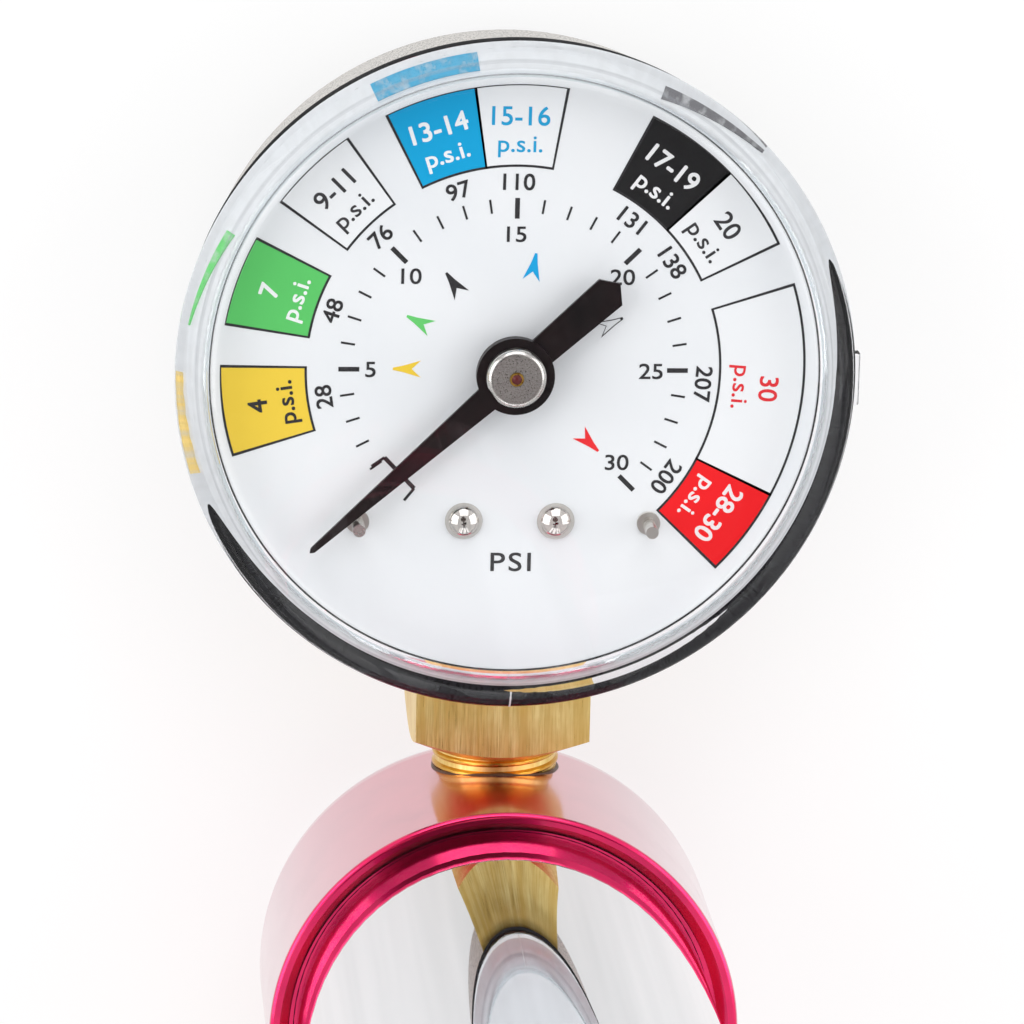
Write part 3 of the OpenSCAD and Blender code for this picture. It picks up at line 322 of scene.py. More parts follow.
@dataclass(frozen=True)
class PolishedAluminium(Finish):
    """Drawn aluminium tube, buffed to a mirror: hairlines run along it and blur what it mirrors."""

    name: str = "polished_aluminium"
    colour: str = "#E9EAEC"
    smear: str = "#DCDEE0"
    rough: float = 0.012
    lines_mm: float = 0.35
    smear_mm: float = 2.5
    depth_mm: float = 0.0004
    grain: Grain = Grain.ALONG_Z

    def surface(self, paint: Paint) -> Socket:
        """Draws hairlines along the tube, with wider smears that vary its shade and its polish.

        Args:
            paint: where the nodes go.

        Returns:
            The shader.
        """
        lines = paint.marks(self.grain, self.lines_mm, 4.0)
        smears = paint.marks(self.grain, self.smear_mm, 2.0)
        colour = paint.shades(smears, self.colour, self.smear)
        return paint.coat(colour, smears, (self.rough * 0.6, self.rough * 2.2), (lines, self.depth_mm, 0.5),
                          Metallic=1.0)


@dataclass(frozen=True)
class MachinedBrass(Finish):
    """Free-cutting brass as it leaves the lathe or mill: fine tool lines and a little tarnish."""

    name: str = "machined_brass"
    colour: str = "#D9B45C"
    tarnish: str = "#B98A35"
    rough: float = 0.3
    lines_mm: float = 0.22
    depth_mm: float = 0.012
    scratch: float = 0.25
    cloud_mm: float = 5.0
    grain: Grain = Grain.ROUND_Z

    def surface(self, paint: Paint) -> Socket:
        """Cuts fine tool lines, dark in their grooves, over broad bands and clouds of tarnish.

        Args:
            paint: where the nodes go.

        Returns:
            The shader.
        """
        lines = paint.marks(self.grain, self.lines_mm, 4.0)
        broad = paint.marks(self.grain, self.lines_mm * 6, 2.0)
        clouds = paint.marks(Grain.EVEN, self.cloud_mm)
        worn = add_node(paint.tree, "ShaderNodeMath", {0: broad, 1: clouds}, operation="MULTIPLY")
        ground = paint.shades(worn.outputs[0], self.tarnish, self.colour, start=0.12, end=0.4)
        colour = paint.shades(lines, ground, self.tarnish, start=0.38, end=0.55, low=self.scratch, high=0.0)
        return paint.coat(colour, lines, (self.rough * 0.75, self.rough * 1.3), (lines, self.depth_mm, 0.6),
                          Metallic=1.0)


@dataclass(frozen=True)
class BrightSteel(Finish):
    """Nickel-plated steel, turned or headed: a clean mirror with faint tool lines."""

    name: str = "bright_steel"
    colour: str = "#D3D0CB"
    rough: float = 0.14
    lines_mm: float = 0.15
    depth_mm: float = 0.003
    grain: Grain = Grain.ROUND_Z
    groove: str = "#B9B5AF"

    def surface(self, paint: Paint) -> Socket:
        """Lets the tool lines set the shade, the polish and a shallow relief.

        Args:
            paint: where the nodes go.

        Returns:
            The shader.
        """
        lines = paint.marks(self.grain, self.lines_mm, 3.0)
        colour = paint.shades(lines, self.colour, self.groove)
        return paint.coat(colour, lines, (self.rough * 0.7, self.rough * 1.4), (lines, self.depth_mm, 0.5),
                          Metallic=1.0)


@dataclass(frozen=True)
class TexturedEnamel(Finish):
    """Pressed steel under black orange-peel enamel: near black face on, with a grey painted sheen in its
    flecks where it is seen side on.

    Above the height at which the lens's lip ends it shows only through the lens, and is drawn without
    the painted sheen.
    """

    name: str = "textured_enamel"
    colour: str = "#242428"
    dark: str = "#141416"
    # colour of the painted sheen in the flecks
    painted_glare: str = "#D8D3CC"
    rough: tuple[float, float] = (0.2, 0.45)
    ior: float = 1.55
    pebble_mm: float = 0.3
    depth_mm: float = 0.06
    covered_from: float = LIP_Z
    shine_open: float = 0.42
    shine_covered: float = 0.08

    def surface(self, paint: Paint) -> Socket:
        """Pebbles the enamel, and paints a grey sheen into the colour of its flecks where it is seen side on
        and lies open.

        Args:
            paint: where the nodes go.

        Returns:
            The shader.
        """
        tree = paint.tree
        pebbles = paint.marks(Grain.EVEN, self.pebble_mm, 2.0)
        flecks = paint.marks(Grain.EVEN, self.pebble_mm * 0.6, 1.0)
        base = paint.shades(flecks, self.dark, self.colour, start=0.38, end=0.62)
        height = add_node(tree, "ShaderNodeSeparateXYZ", {0: paint.place}).outputs["Z"]
        bare = add_node(tree, "ShaderNodeMapRange",
                        {"Value": height, "From Min": (self.covered_from - 0.05) * MM,
                         "From Max": self.covered_from * MM, "To Min": 1.0, "To Max": 0.0})
        facing = add_node(tree, "ShaderNodeLayerWeight", {"Blend": 0.5}).outputs["Facing"]
        # painted sheen: the colour goes towards pale grey where the enamel is seen side on, in its flecks,
        # below the lens's lip
        grazed = add_node(tree, "ShaderNodeMapRange",
                          {"Value": facing, "From Min": 0.5, "From Max": 0.85, "To Min": 0.0,
                           "To Max": 0.8})
        painted_sparkle = add_node(tree, "ShaderNodeMapRange",
                          {"Value": flecks, "From Min": 0.35, "From Max": 0.6, "To Min": 0.45,
                           "To Max": 1.0})
        painted_sheen = add_node(tree, "ShaderNodeMath", {0: grazed.outputs[0], 1: painted_sparkle.outputs[0]},
                          operation="MULTIPLY")
        painted_sheen_share = add_node(tree, "ShaderNodeMath", {0: painted_sheen.outputs[0], 1: bare.outputs[0]},
                         operation="MULTIPLY")
        colour = add_node(tree, "ShaderNodeMix", {0: painted_sheen_share.outputs[0], 6: base, 7: linear(self.painted_glare)},
                          data_type="RGBA")
        level = add_node(tree, "ShaderNodeMath",
                         {0: bare.outputs[0], 1: self.shine_open, 2: self.shine_covered},
                         operation="MULTIPLY_ADD")
        return paint.coat(colour.outputs[2], flecks, self.rough, (pebbles, self.depth_mm, 0.8),
                          IOR=self.ior, Specular_IOR_Level=level.outputs[0])


@dataclass(frozen=True)
class NitrileRubber(Finish):
    """Moulded black nitrile rubber: near black and matt, with the faint bloom of old rubber."""

    name: str = "nitrile_rubber"
    colour: str = "#1D1D1F"
    bloom: str = "#2E2E30"
    rough: tuple[float, float] = (0.55, 0.8)
    ior: float = 1.52
    cloud_mm: float = 3.0
    grit_mm: float = 0.25
    depth_mm: float = 0.01

    def surface(self, paint: Paint) -> Socket:
        """Clouds the rubber with bloom and roughens it with fine grit.

        Args:
            paint: where the nodes go.

        Returns:
            The shader.
        """
        clouds = paint.marks(Grain.EVEN, self.cloud_mm)
        grit = paint.marks(Grain.EVEN, self.grit_mm, 2.0)
        colour = paint.shades(clouds, self.colour, self.bloom)
        return paint.coat(colour, grit, self.rough, (grit, self.depth_mm, 0.5), IOR=self.ior)


@dataclass(frozen=True)
class MouldedNylon(Finish):
    """Glass-filled nylon from a spark-eroded mould: black, satin, with a fine leathery grain."""

    name: str = "moulded_nylon"
    colour: str = "#1A1A1C"
    rubbed: str = "#29292B"
    rough: tuple[float, float] = (0.36, 0.55)
    ior: float = 1.53
    cloud_mm: float = 12.0
    grain_mm: float = 0.35
    depth_mm: float = 0.03

    def surface(self, paint: Paint) -> Socket:
        """Gives the nylon the mould's grain, and a paler black where hands have rubbed it.

        Args:
            paint: where the nodes go.

        Returns:
            The shader.
        """
        grain = paint.marks(Grain.EVEN, self.grain_mm, 3.0)
        clouds = paint.marks(Grain.EVEN, self.cloud_mm)
        colour = paint.shades(clouds, self.colour, self.rubbed)
        return paint.coat(colour, grain, self.rough, (grain, self.depth_mm, 0.5), IOR=self.ior)


@dataclass(frozen=True)
class ClearPolycarbonate(Finish):
    """Clear polycarbonate from a polished mould: glass-clear, with glints in its rounded rim.

    Rays from lamps pass straight through it, so that the dial behind it is lit as it is in the open. Most
    of what its flat window would mirror is left out, because the photograph shows next to nothing there.
    """

    name: str = "clear_polycarbonate"
    colour: str = "#FDFDFE"
    shadow: str = "#FEFEFE"
    rough: float = 0.0
    ior: float = 1.585
    ripple_mm: float = 7.0
    depth_mm: float = 0.01
    calm_window: float = 0.7
    calm_rim: float = 0.35
    calm_outside: float = 0.4
    window_ends: tuple[float, float] = (22.6, 23.6)
    outside_starts: tuple[float, float] = (25.0, 25.6)

    def surface(self, paint: Paint) -> Socket:
        """Mixes glass with a shader that bends light but mirrors nothing, by the distance from the axis.

        Args:
            paint: where the nodes go.

        Returns:
            The shader.
        """
        tree = paint.tree
        ripple = paint.marks(Grain.EVEN, self.ripple_mm, 1.0)
        relief = add_node(tree, "ShaderNodeBump",
                          {"Height": ripple, "Distance": self.depth_mm * MM, "Strength": 0.25})
        shared = {"Roughness": self.rough, "IOR": self.ior, "Normal": relief.outputs[0]}
        glass = add_node(tree, "ShaderNodeBsdfPrincipled",
                         {"Base Color": linear(self.colour), "Transmission Weight": 1.0, **shared})
        bent = add_node(tree, "ShaderNodeBsdfRefraction", {"Color": linear(self.colour), **shared})
        radius = paint.radius()
        window = add_node(tree, "ShaderNodeMapRange",
                          {"Value": radius, "From Min": self.window_ends[0] * MM,
                           "From Max": self.window_ends[1] * MM, "To Min": self.calm_window,
                           "To Max": self.calm_rim})
        outside = add_node(tree, "ShaderNodeMapRange",
                           {"Value": radius, "From Min": self.outside_starts[0] * MM,
                            "From Max": self.outside_starts[1] * MM, "To Min": 0.0,
                            "To Max": self.calm_outside})
        calm = add_node(tree, "ShaderNodeMath", {0: window.outputs[0], 1: outside.outputs[0]},
                        operation="ADD")
        clear = add_node(tree, "ShaderNodeMixShader",
                         {0: calm.outputs[0], 1: glass.outputs[0], 2: bent.outputs[0]})
        ray = add_node(tree, "ShaderNodeLightPath")
        lamp = add_node(tree, "ShaderNodeMath",
                        {0: ray.outputs["Is Shadow Ray"], 1: ray.outputs["Is Diffuse Ray"]},
                        operation="MAXIMUM")
        through = add_node(tree, "ShaderNodeBsdfTransparent", {"Color": linear(self.shadow)})
        return add_node(tree, "ShaderNodeMixShader",
                        {0: lamp.outputs[0], 1: clear.outputs[0], 2: through.outputs[0]}).outputs[0]


@dataclass(frozen=True)
class FrostedPolycarbonate(Finish):
    """Polycarbonate torn where the mould's gate was twisted off: white, rough and cloudy."""

    name: str = "frosted_polycarbonate"
    colour: str = "#C9CCD0"
    crumb: str = "#F4F5F6"
    rough: float = 0.5
    ior: float = 1.585
    crumb_mm: float = 0.15
    depth_mm: float = 0.05

    def surface(self, paint: Paint) -> Socket:
        """Whitens the torn plastic in crumbs that stand out of it, and lets a little light through.

        Args:
            paint: where the nodes go.

        Returns:
            The shader.
        """
        crumbs = paint.marks(Grain.EVEN, self.crumb_mm, 2.0)
        colour = add_node(paint.tree, "ShaderNodeMix",
                          {0: crumbs, 6: linear(self.colour), 7: linear(self.crumb)}, data_type="RGBA")
        relief = add_node(paint.tree, "ShaderNodeBump", {"Height": crumbs, "Distance": self.depth_mm * MM})
        return add_node(paint.tree, "ShaderNodeBsdfPrincipled",
                        {"Base Color": colour.outputs[2], "Roughness": self.rough, "IOR": self.ior,
                         "Transmission Weight": 0.25, "Normal": relief.outputs[0]}).outputs[0]


@dataclass(frozen=True)
class BakedEnamel(Finish):
    """Flat stoved enamel on sheet aluminium: a smooth white ground with a soft sheen."""

    name: str = "white_baked_enamel"
    colour: str = "#F3F5F6"
    shade: str = "#ECEFF1"
    rough: tuple[float, float] = (0.4, 0.55)
    sheen: float = 0.35
    cloud_mm: float = 14.0
    grit_mm: float = 0.3
    depth_mm: float = 0.004

    def surface(self, paint: Paint) -> Socket:
        """Shades the enamel very slightly in wide clouds, over a fine grit.

        Args:
            paint: where the nodes go.

        Returns:
            The shader.
        """
        clouds = paint.marks(Grain.EVEN, self.cloud_mm, 1.0)
        grit = paint.marks(Grain.EVEN, self.grit_mm, 2.0)
        colour = paint.shades(clouds, self.colour, self.shade)
        return paint.coat(colour, grit, self.rough, (grit, self.depth_mm, 0.4),
                          Specular_IOR_Level=self.sheen)


@dataclass(frozen=True)
class PrintInk(Finish):
    """Pad-printed ink on the enamel: even colour with the faint starving at its grain."""

    name: str = "black_ink"
    colour: str = "#2B2A2C"
    thin: str = "#3A393B"
    rough: tuple[float, float] = (0.4, 0.6)
    sheen: float = 0.3
    grain_mm: float = 0.2

    def surface(self, paint: Paint) -> Socket:
        """Thins the ink at its grain.

        Args:
            paint: where the nodes go.

        Returns:
            The shader.
        """
        grain = paint.marks(Grain.EVEN, self.grain_mm, 3.0)
        colour = paint.shades(grain, self.colour, self.thin, start=0.35, end=0.75)
        return paint.coat(colour, grain, self.rough, Specular_IOR_Level=self.sheen)


@dataclass(frozen=True)
class BlackEnamel(Finish):
    """Dip-painted sheet steel of the pointer: black with dust nibs that catch the light."""

    name: str = "black_enamel"
    colour: str = "#0C0809"
    edge: str = "#1C1112"
    rough: tuple[float, float] = (0.3, 0.5)
    sheen: float = 0.25
    cloud_mm: float = 4.0
    nib_mm: float = 0.35
    depth_mm: float = 0.015

    def surface(self, paint: Paint) -> Socket:
        """Raises dust nibs in the paint and clouds its black.

        Args:
            paint: where the nodes go.

        Returns:
            The shader.
        """
        nibs = paint.marks(Grain.EVEN, self.nib_mm, 4.0)
        clouds = paint.marks(Grain.EVEN, self.cloud_mm)
        colour = paint.shades(clouds, self.colour, self.edge)
        return paint.coat(colour, nibs, self.rough, (nibs, self.depth_mm, 0.4),
                          Specular_IOR_Level=self.sheen)


@dataclass(frozen=True)
class PaintedRimReflection(Finish):
    """A painted reflection of the dial's print in the lens's thick corner: the print's colours, drawn out
    along the rim.

    The colour is fullest at the rim and fades inwards, and fine grey circles cross it.
    """

    name: str = "rim_reflection_colour"
    colour: str = "#00A6DC"
    light: str = "#F4F6F7"
    cover: float = 0.95
    inner_r: float = 24.25
    outer_r: float = 24.5
    mottle: float = 1.0
    rough: float = 0.6
    circle: str = "#8E9299"
    clear: str = "#F4F7F8"
    fleck_mm: float = 0.9
    circle_mm: float = 0.22

    def surface(self, paint: Paint) -> Socket:
        """Fades the colour in from the inner to the outer radius, with flecks and circles in it.

        Args:
            paint: where the nodes go.

        Returns:
            The shader.
        """
        tree = paint.tree
        flecks = paint.marks(Grain.EVEN, self.fleck_mm, 3.0)
        radius = paint.radius()
        circles = add_node(tree, "ShaderNodeTexNoise",
                           {"W": radius, "Scale": per_metre(self.circle_mm), "Detail": 2.0},
                           noise_dimensions="1D")
        shade = paint.shades(flecks, self.colour, self.light, start=0.5, end=0.75, high=0.5 * self.mottle)
        lined = paint.shades(circles.outputs[0], shade, self.circle, start=0.3, end=0.5, low=0.35, high=0.0)
        # painted reflection: the print's colour as the rim shows it
        reflected_print = add_node(tree, "ShaderNodeBsdfPrincipled", {"Base Color": lined, "Roughness": self.rough})
        clear = add_node(tree, "ShaderNodeBsdfTransparent", {"Color": linear(self.clear)})
        fade = add_node(tree, "ShaderNodeMapRange",
                        {"Value": radius, "From Min": self.inner_r * MM, "From Max": self.outer_r * MM,
                         "To Min": 0.0, "To Max": self.cover})
        patchy = add_node(tree, "ShaderNodeMapRange",
                          {"Value": flecks, "From Min": 0.4, "From Max": 0.7, "To Min": 1.0,
                           "To Max": 1.0 - 0.3 * self.mottle})
        share = add_node(tree, "ShaderNodeMath", {0: fade.outputs[0], 1: patchy.outputs[0]},
                         operation="MULTIPLY")
        return add_node(tree, "ShaderNodeMixShader",
                        {0: share.outputs[0], 1: clear.outputs[0], 2: reflected_print.outputs[0]}).outputs[0]


@dataclass(frozen=True)
class ThreadSealant(Finish):
    """Anaerobic sealant squeezed out of the joint: dark amber, wet-looking and uneven."""

    name: str = "thread_sealant"
    colour: str = "#2A1812"
    thin: str = "#6A4A34"
    rough: float = 0.35
    cloud_mm: float = 0.8
    depth_mm: float = 0.08

    def surface(self, paint: Paint) -> Socket:
        """Lets the amber run from thick to thin in lumps.

        Args:
            paint: where the nodes go.

        Returns:
            The shader.
        """
        clouds = paint.marks(Grain.EVEN, self.cloud_mm, 3.0)
        colour = add_node(paint.tree, "ShaderNodeMix",
                          {0: clouds, 6: linear(self.colour), 7: linear(self.thin)}, data_type="RGBA")
        relief = add_node(paint.tree, "ShaderNodeBump", {"Height": clouds, "Distance": self.depth_mm * MM})
        return add_node(paint.tree, "ShaderNodeBsdfPrincipled",
                        {"Base Color": colour.outputs[2], "Roughness": self.rough,
                         "Specular IOR Level": 0.3, "Normal": relief.outputs[0]}).outputs[0]


@dataclass(frozen=True)
class RedSealer(Finish):
    """A drop of red lacquer that locks the pointer on its arbor: dark, deep and glossy."""

    name: str = "red_sealer"
    colour: str = "#3B070A"
    thin: str = "#6A1215"
    rough: float = 0.3
    cloud_mm: float = 0.5

    def surface(self, paint: Paint) -> Socket:
        """Lets the red run from thick to thin under a light gloss.

        Args:
            paint: where the nodes go.

        Returns:
            The shader.
        """
        clouds = paint.marks(Grain.EVEN, self.cloud_mm)
        colour = add_node(paint.tree, "ShaderNodeMix",
                          {0: clouds, 6: linear(self.colour), 7: linear(self.thin)}, data_type="RGBA")
        return add_node(paint.tree, "ShaderNodeBsdfPrincipled",
                        {"Base Color": colour.outputs[2], "Roughness": self.rough,
                         "Specular IOR Level": 0.3, "Coat Weight": 0.15}).outputs[0]


PINK = AnodisedAluminium()
MIRROR = PolishedAluminium()
MILLED_BRASS = MachinedBrass("milled_brass", colour="#F9E49F", tarnish="#DDB968", rough=0.36,
                             scratch=0.7, grain=Grain.ALONG_Y, lines_mm=0.1, depth_mm=0.012)
TURNED_BRASS = MachinedBrass("turned_brass", colour="#E0B45A", tarnish="#C08A35", rough=0.2,
                             grain=Grain.ROUND_Y, lines_mm=0.12, depth_mm=0.004)
SHEET_BRASS = MachinedBrass("sheet_brass", grain=Grain.EVEN, lines_mm=0.5, depth_mm=0.003)
BUSH_BRASS = MachinedBrass("bush_brass", rough=0.22, lines_mm=0.12, depth_mm=0.004)
STEEL = BrightSteel()
RIVET_STEEL = BrightSteel("rivet_steel", colour="#D5CFC8", rough=0.05, lines_mm=0.4, depth_mm=0.0004)
PIN_STEEL = BrightSteel("pin_steel", colour="#F0ECE6", rough=0.26, lines_mm=0.12, depth_mm=0.004)
SATIN_STEEL = BrightSteel("satin_steel", colour="#8F8A86", rough=0.34, lines_mm=0.12, depth_mm=0.008,
                          grain=Grain.EVEN)
ENAMEL = TexturedEnamel()
RUBBER = NitrileRubber()
NYLON = MouldedNylon()
CLEAR = ClearPolycarbonate()
FROSTED = FrostedPolycarbonate()
WHITE = BakedEnamel()
BLACK_INK = PrintInk()
BLACK_PAINT = BlackEnamel()
RED_DROP = RedSealer()
SEALANT = ThreadSealant()
# the dial's white, painted as a reflection in the lens's rim
PAINTED_RIM_WHITE = PaintedRimReflection("rim_reflection_ring", colour="#E9ECEF", light="#FAFBFB", cover=0.7, inner_r=24.0, outer_r=24.6,
                      mottle=0.3)


# ---------------------------------------------------------------- surfaces


class Shape(Protocol):
    """Anything that a piece can be joined from."""

    def solid(self) -> Solid:
        """Gives its points in millimetres, and its faces."""
        ...


@dataclass
class Patch:
    """One grid of points in millimetres, rows by columns, that becomes a sheet of quads."""

    points: np.ndarray
    wrap_rows: bool = False
    wrap_columns: bool = False

    def faces(self) -> np.ndarray:
        """Makes quads between each row and the next, and round again where the grid wraps.

        Returns:
            Four point numbers for each quad.
        """
        rows, columns = self.points.shape[:2]
        i = np.arange(rows if self.wrap_rows else rows - 1)[:, None]
        j = np.arange(columns if self.wrap_columns else columns - 1)[None, :]
        down, right = (i + 1) % rows, (j + 1) % columns
        corners = [i * columns + j, down * columns + j, down * columns + right, i * columns + right]
        return np.stack([np.broadcast_to(c, (i.size, j.size)) for c in corners], -1).reshape(-1, 4)

    def solid(self) -> Solid:
        """Gives the grid's points in one list, and its faces."""
        return self.points.reshape(-1, 3), self.faces().tolist()


@dataclass
class Film:
    """A flat closed outline in millimetres, between two heights: a printed or punched shape."""

    outline: np.ndarray
    low: float
    high: float

    def solid(self) -> Solid:
        """Stands the outline at both heights, with two caps and a wall between them.

        Returns:
            Points in millimetres and faces.
        """
        n = len(self.outline)
        points = np.concatenate([np.column_stack([self.outline, np.full(n, z)])
                                 for z in (self.low, self.high)])
        ring = np.arange(n)
        after = (ring + 1) % n
        wall = np.stack([ring, after, after + n, ring + n], -1).tolist()
        return points, [ring[::-1].tolist(), (ring + n).tolist(), *wall]


def make_piece(name: str, shapes: list[Shape], finish: Finish, body: str, sharp: float = 35.0,
               move: np.ndarray | None = None) -> bpy.types.Object:
    """Joins patches and films into one mesh, closes its poles, turns its faces out and dresses it.

    Args:
        name: the piece's name.
        shapes: patches, films and print, in millimetres.
        finish: its finish.
        body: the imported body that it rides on.
        sharp: edges that turn by more degrees than this stay sharp.
        move: shift in millimetres from the shapes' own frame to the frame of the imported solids.

    Returns:
        The piece, with its place in its mesh.
    """
    points, faces, count = [], [], 0
    for shape in shapes:
        new_points, new_faces = shape.solid()
        faces += [[k + count for k in face] for face in new_faces]
        points.append(new_points)
        count += len(new_points)
    placed = np.concatenate(points) + (0 if move is None else move)
    mesh = bpy.data.meshes.new(name)
    mesh.from_pydata((placed * MM).tolist(), [], faces)
    tidy = bmesh.new()
    tidy.from_mesh(mesh)
    bmesh.ops.remove_doubles(tidy, verts=tidy.verts, dist=1e-7)
    bmesh.ops.dissolve_degenerate(tidy, edges=tidy.edges, dist=1e-8)
    bmesh.ops.recalc_face_normals(tidy, faces=tidy.faces)
    tidy.to_mesh(mesh)
    tidy.free()
    mesh.shade_smooth()
    mesh.set_sharp_from_angle(angle=math.radians(sharp))
    piece = bpy.data.objects.new(name, mesh)
    bpy.context.scene.collection.objects.link(piece)
    mesh.materials.append(finish.material())
    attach(piece, body)
    LOG.info("%s: %d points, %s", name, len(mesh.vertices), finish.name)
    return piece


def arc(centre: Point, radius: float, start: float, end: float, steps: int) -> np.ndarray:
    """Points on a circle: centre plus radius times the cosine and sine of angles from start to end.

    Args:
        centre: the circle's middle.
        radius: its radius.
        start: the first angle in degrees.
        end: the last one.
        steps: how many steps lie between them.

    Returns:
        One row for each point.
    """
    a = np.radians(np.linspace(start, end, steps + 1))
    return np.column_stack([centre[0] + radius * np.cos(a), centre[1] + radius * np.sin(a)])


def spun(profile: np.ndarray, steps: int, closed: bool = False) -> Patch:
    """A surface of revolution about Z: each profile point (r, z) becomes (r cos a, r sin a, z).

    Args:
        profile: radius and height of each point, in millimetres.
        steps: columns round the axis.
        closed: whether the profile's last point joins its first.

    Returns:
        The patch.
    """
    a = np.linspace(0, 2 * np.pi, steps, endpoint=False)
    r, z = profile[:, 0:1], profile[:, 1:2]
    points = np.stack([r * np.cos(a), r * np.sin(a), np.broadcast_to(z, (len(profile), steps))], -1)
    return Patch(points, wrap_rows=closed, wrap_columns=True)


def capped(points: np.ndarray) -> Patch:
    """Shuts a tube at both ends: a row of copies of the end's middle before the first and after the last.

    Args:
        points: rows along the tube by columns round it.

    Returns:
        The patch, whose ends close when doubles are merged.
    """
    ends = [np.repeat(points[k : k + 1].mean(1, keepdims=True), points.shape[1], 1) for k in (0, -1)]
    return Patch(np.concatenate([ends[0], points, ends[1]]), wrap_columns=True)


def turned(flat: np.ndarray, angle: float) -> np.ndarray:
    """Turns points about the origin by an angle in degrees: x cos a - y sin a and x sin a + y cos a.

    Args:
        flat: one row for each point.
        angle: the angle, anticlockwise.

    Returns:
        The turned points.
    """
    c, s = math.cos(math.radians(angle)), math.sin(math.radians(angle))
    return flat @ np.array([[c, s], [-s, c]])


def polar(radius: float, angle: float) -> np.ndarray:
    """The point at a radius and an angle in degrees."""
    return radius * np.array([math.cos(math.radians(angle)), math.sin(math.radians(angle))])


def bar_outline(start: np.ndarray, end: np.ndarray, width: float) -> np.ndarray:
    """A straight bar: start and end, each moved half the width to both sides.

    Args:
        start: the middle of one end.
        end: the middle of the other.
        width: the bar's width.

    Returns:
        Its four corners.
    """
    along = (end - start) / np.linalg.norm(end - start)
    side = np.array([-along[1], along[0]]) * width / 2
    return np.array([start - side, end - side, end + side, start + side])


def sector_outline(inner: float, outer: float, low: float, high: float, steps: int = 24) -> np.ndarray:
    """A ring's sector: the outer arc from low to high degrees, then the inner arc back.

    Args:
        inner: the ring's inner radius.
        outer: its outer radius.
        low: the sector's first angle in degrees.
        high: its last one.
        steps: steps in each arc.

    Returns:
        The closed outline.
    """
    return np.concatenate([arc((0, 0), outer, low, high, steps), arc((0, 0), inner, high, low, steps)])


def dress(frame: dict, finish: Finish, *names: str) -> None:
    """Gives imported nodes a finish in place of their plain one.

    Args:
        finish: the finish.
        names: the nodes' names.
    """
    for name in names:
        mesh = frame["nodes"][name].data
        mesh.materials.clear()
        mesh.materials.append(finish.material())
        LOG.info("%s: packed solid, %s", name, finish.name)


@dataclass(frozen=True)
class Label:
    """A number or unit in print: its middle and height in millimetres, and its turn in degrees."""

    words: str
    middle: Point
    height: float
    turn: float = 0.0
    wide: float = 1.0
    weight: float = 0.02
    spacing: float = 1.0


def type_mesh(label: Label) -> Solid:
    """Sets a label in Blender's own type, at its own size, on its baseline.

    Args:
        label: what is printed.

    Returns:
        Points, with the type's front above z = 0 and its back below, and faces.
    """
    curve = bpy.data.curves.new("label", "FONT")
    curve.body = label.words
    curve.resolution_u = 5
    curve.space_character = label.spacing
    curve.extrude = 0.5
    holder = bpy.data.objects.new("label", curve)
    bpy.context.scene.collection.objects.link(holder)
    ready = holder.evaluated_get(bpy.context.evaluated_depsgraph_get())
    mesh = bpy.data.meshes.new_from_object(ready)
    points = np.zeros(len(mesh.vertices) * 3)
    mesh.vertices.foreach_get("co", points)
    faces = [list(face.vertices) for face in mesh.polygons]
    bpy.data.objects.remove(holder)
    bpy.data.curves.remove(curve)
    bpy.data.meshes.remove(mesh)
    return points.reshape(-1, 3), faces


@dataclass(frozen=True)
class Print:
    """A label between two heights, as a shape. Its strokes are made bolder by four copies."""

    label: Label
    low: float
    high: float

    def solid(self) -> Solid:
        """Scales, turns and moves the type, with one copy to each corner of a square.

        Returns:
            Points in millimetres and faces.
        """
        label = self.label
        points, faces = type_mesh(label)
        middle = np.array([(points[:, 0].min() + points[:, 0].max()) / 2, CAPITAL / 2])
        flat = (points[:, :2] - middle) * (1 / CAPITAL * label.height) * np.array([label.wide, 1.0])
        placed = turned(flat, label.turn) + np.array(label.middle)
        copies, copied = [], []
        for k, corner in enumerate(((1, 1), (1, -1), (-1, 1), (-1, -1))):
            heights = np.where(points[:, 2] > 0, self.high + COPY_STEP * k, self.low)
            copies.append(np.column_stack([placed + np.array(corner) * label.weight, heights]))
            copied += [[point + k * len(points) for point in face] for face in faces]
        return np.concatenate(copies), copied


# ---------------------------------------------------------------- gauge


@dataclass(frozen=True)
class Reach:
    """Where a skin lies in the lens's rim: its angles, and how far its two edges reach round the corner."""

    low: float
    high: float
    first: Point
    last: Point


@dataclass(frozen=True)
class RimReflection(Reach):
    """One print's colour, painted as a reflection in the lens's rim."""

    word: str
    colour: str


# The white of the dial painted as a reflection in the rim: all round the fillet, deep along the wall's top,
# and drawn in along its bottom
DEEP, SHALLOW, ROUND = (2.73, 3.7), (2.73, 2.97), (0.93, 2.72)
PAINTED_WHITE_REACH = (
    Reach(0.0, 360.0, ROUND, ROUND),
    Reach(40.0, 195.0, DEEP, DEEP),
    Reach(195.0, 222.0, DEEP, SHALLOW),
    Reach(222.0, 362.0, SHALLOW, SHALLOW),
    Reach(2.0, 40.0, SHALLOW, DEEP),
)
RIM_REFLECTIONS = (
    RimReflection(179.5, 197.6, (2.94, 3.2), (3.1, 3.5), "yellow", "#F2D27A"),
    RimReflection(152.8, 171.0, (1.8, 2.35), (2.7, 2.76), "green", "#5FCB6A"),
    RimReflection(98.0, 117.1, (1.6, 2.6), (1.6, 2.6), "blue", "#43A0C6"),
    RimReflection(43.7, 64.6, (2.86, 2.92), (1.7, 2.5), "grey", "#6A6A6E"),
)


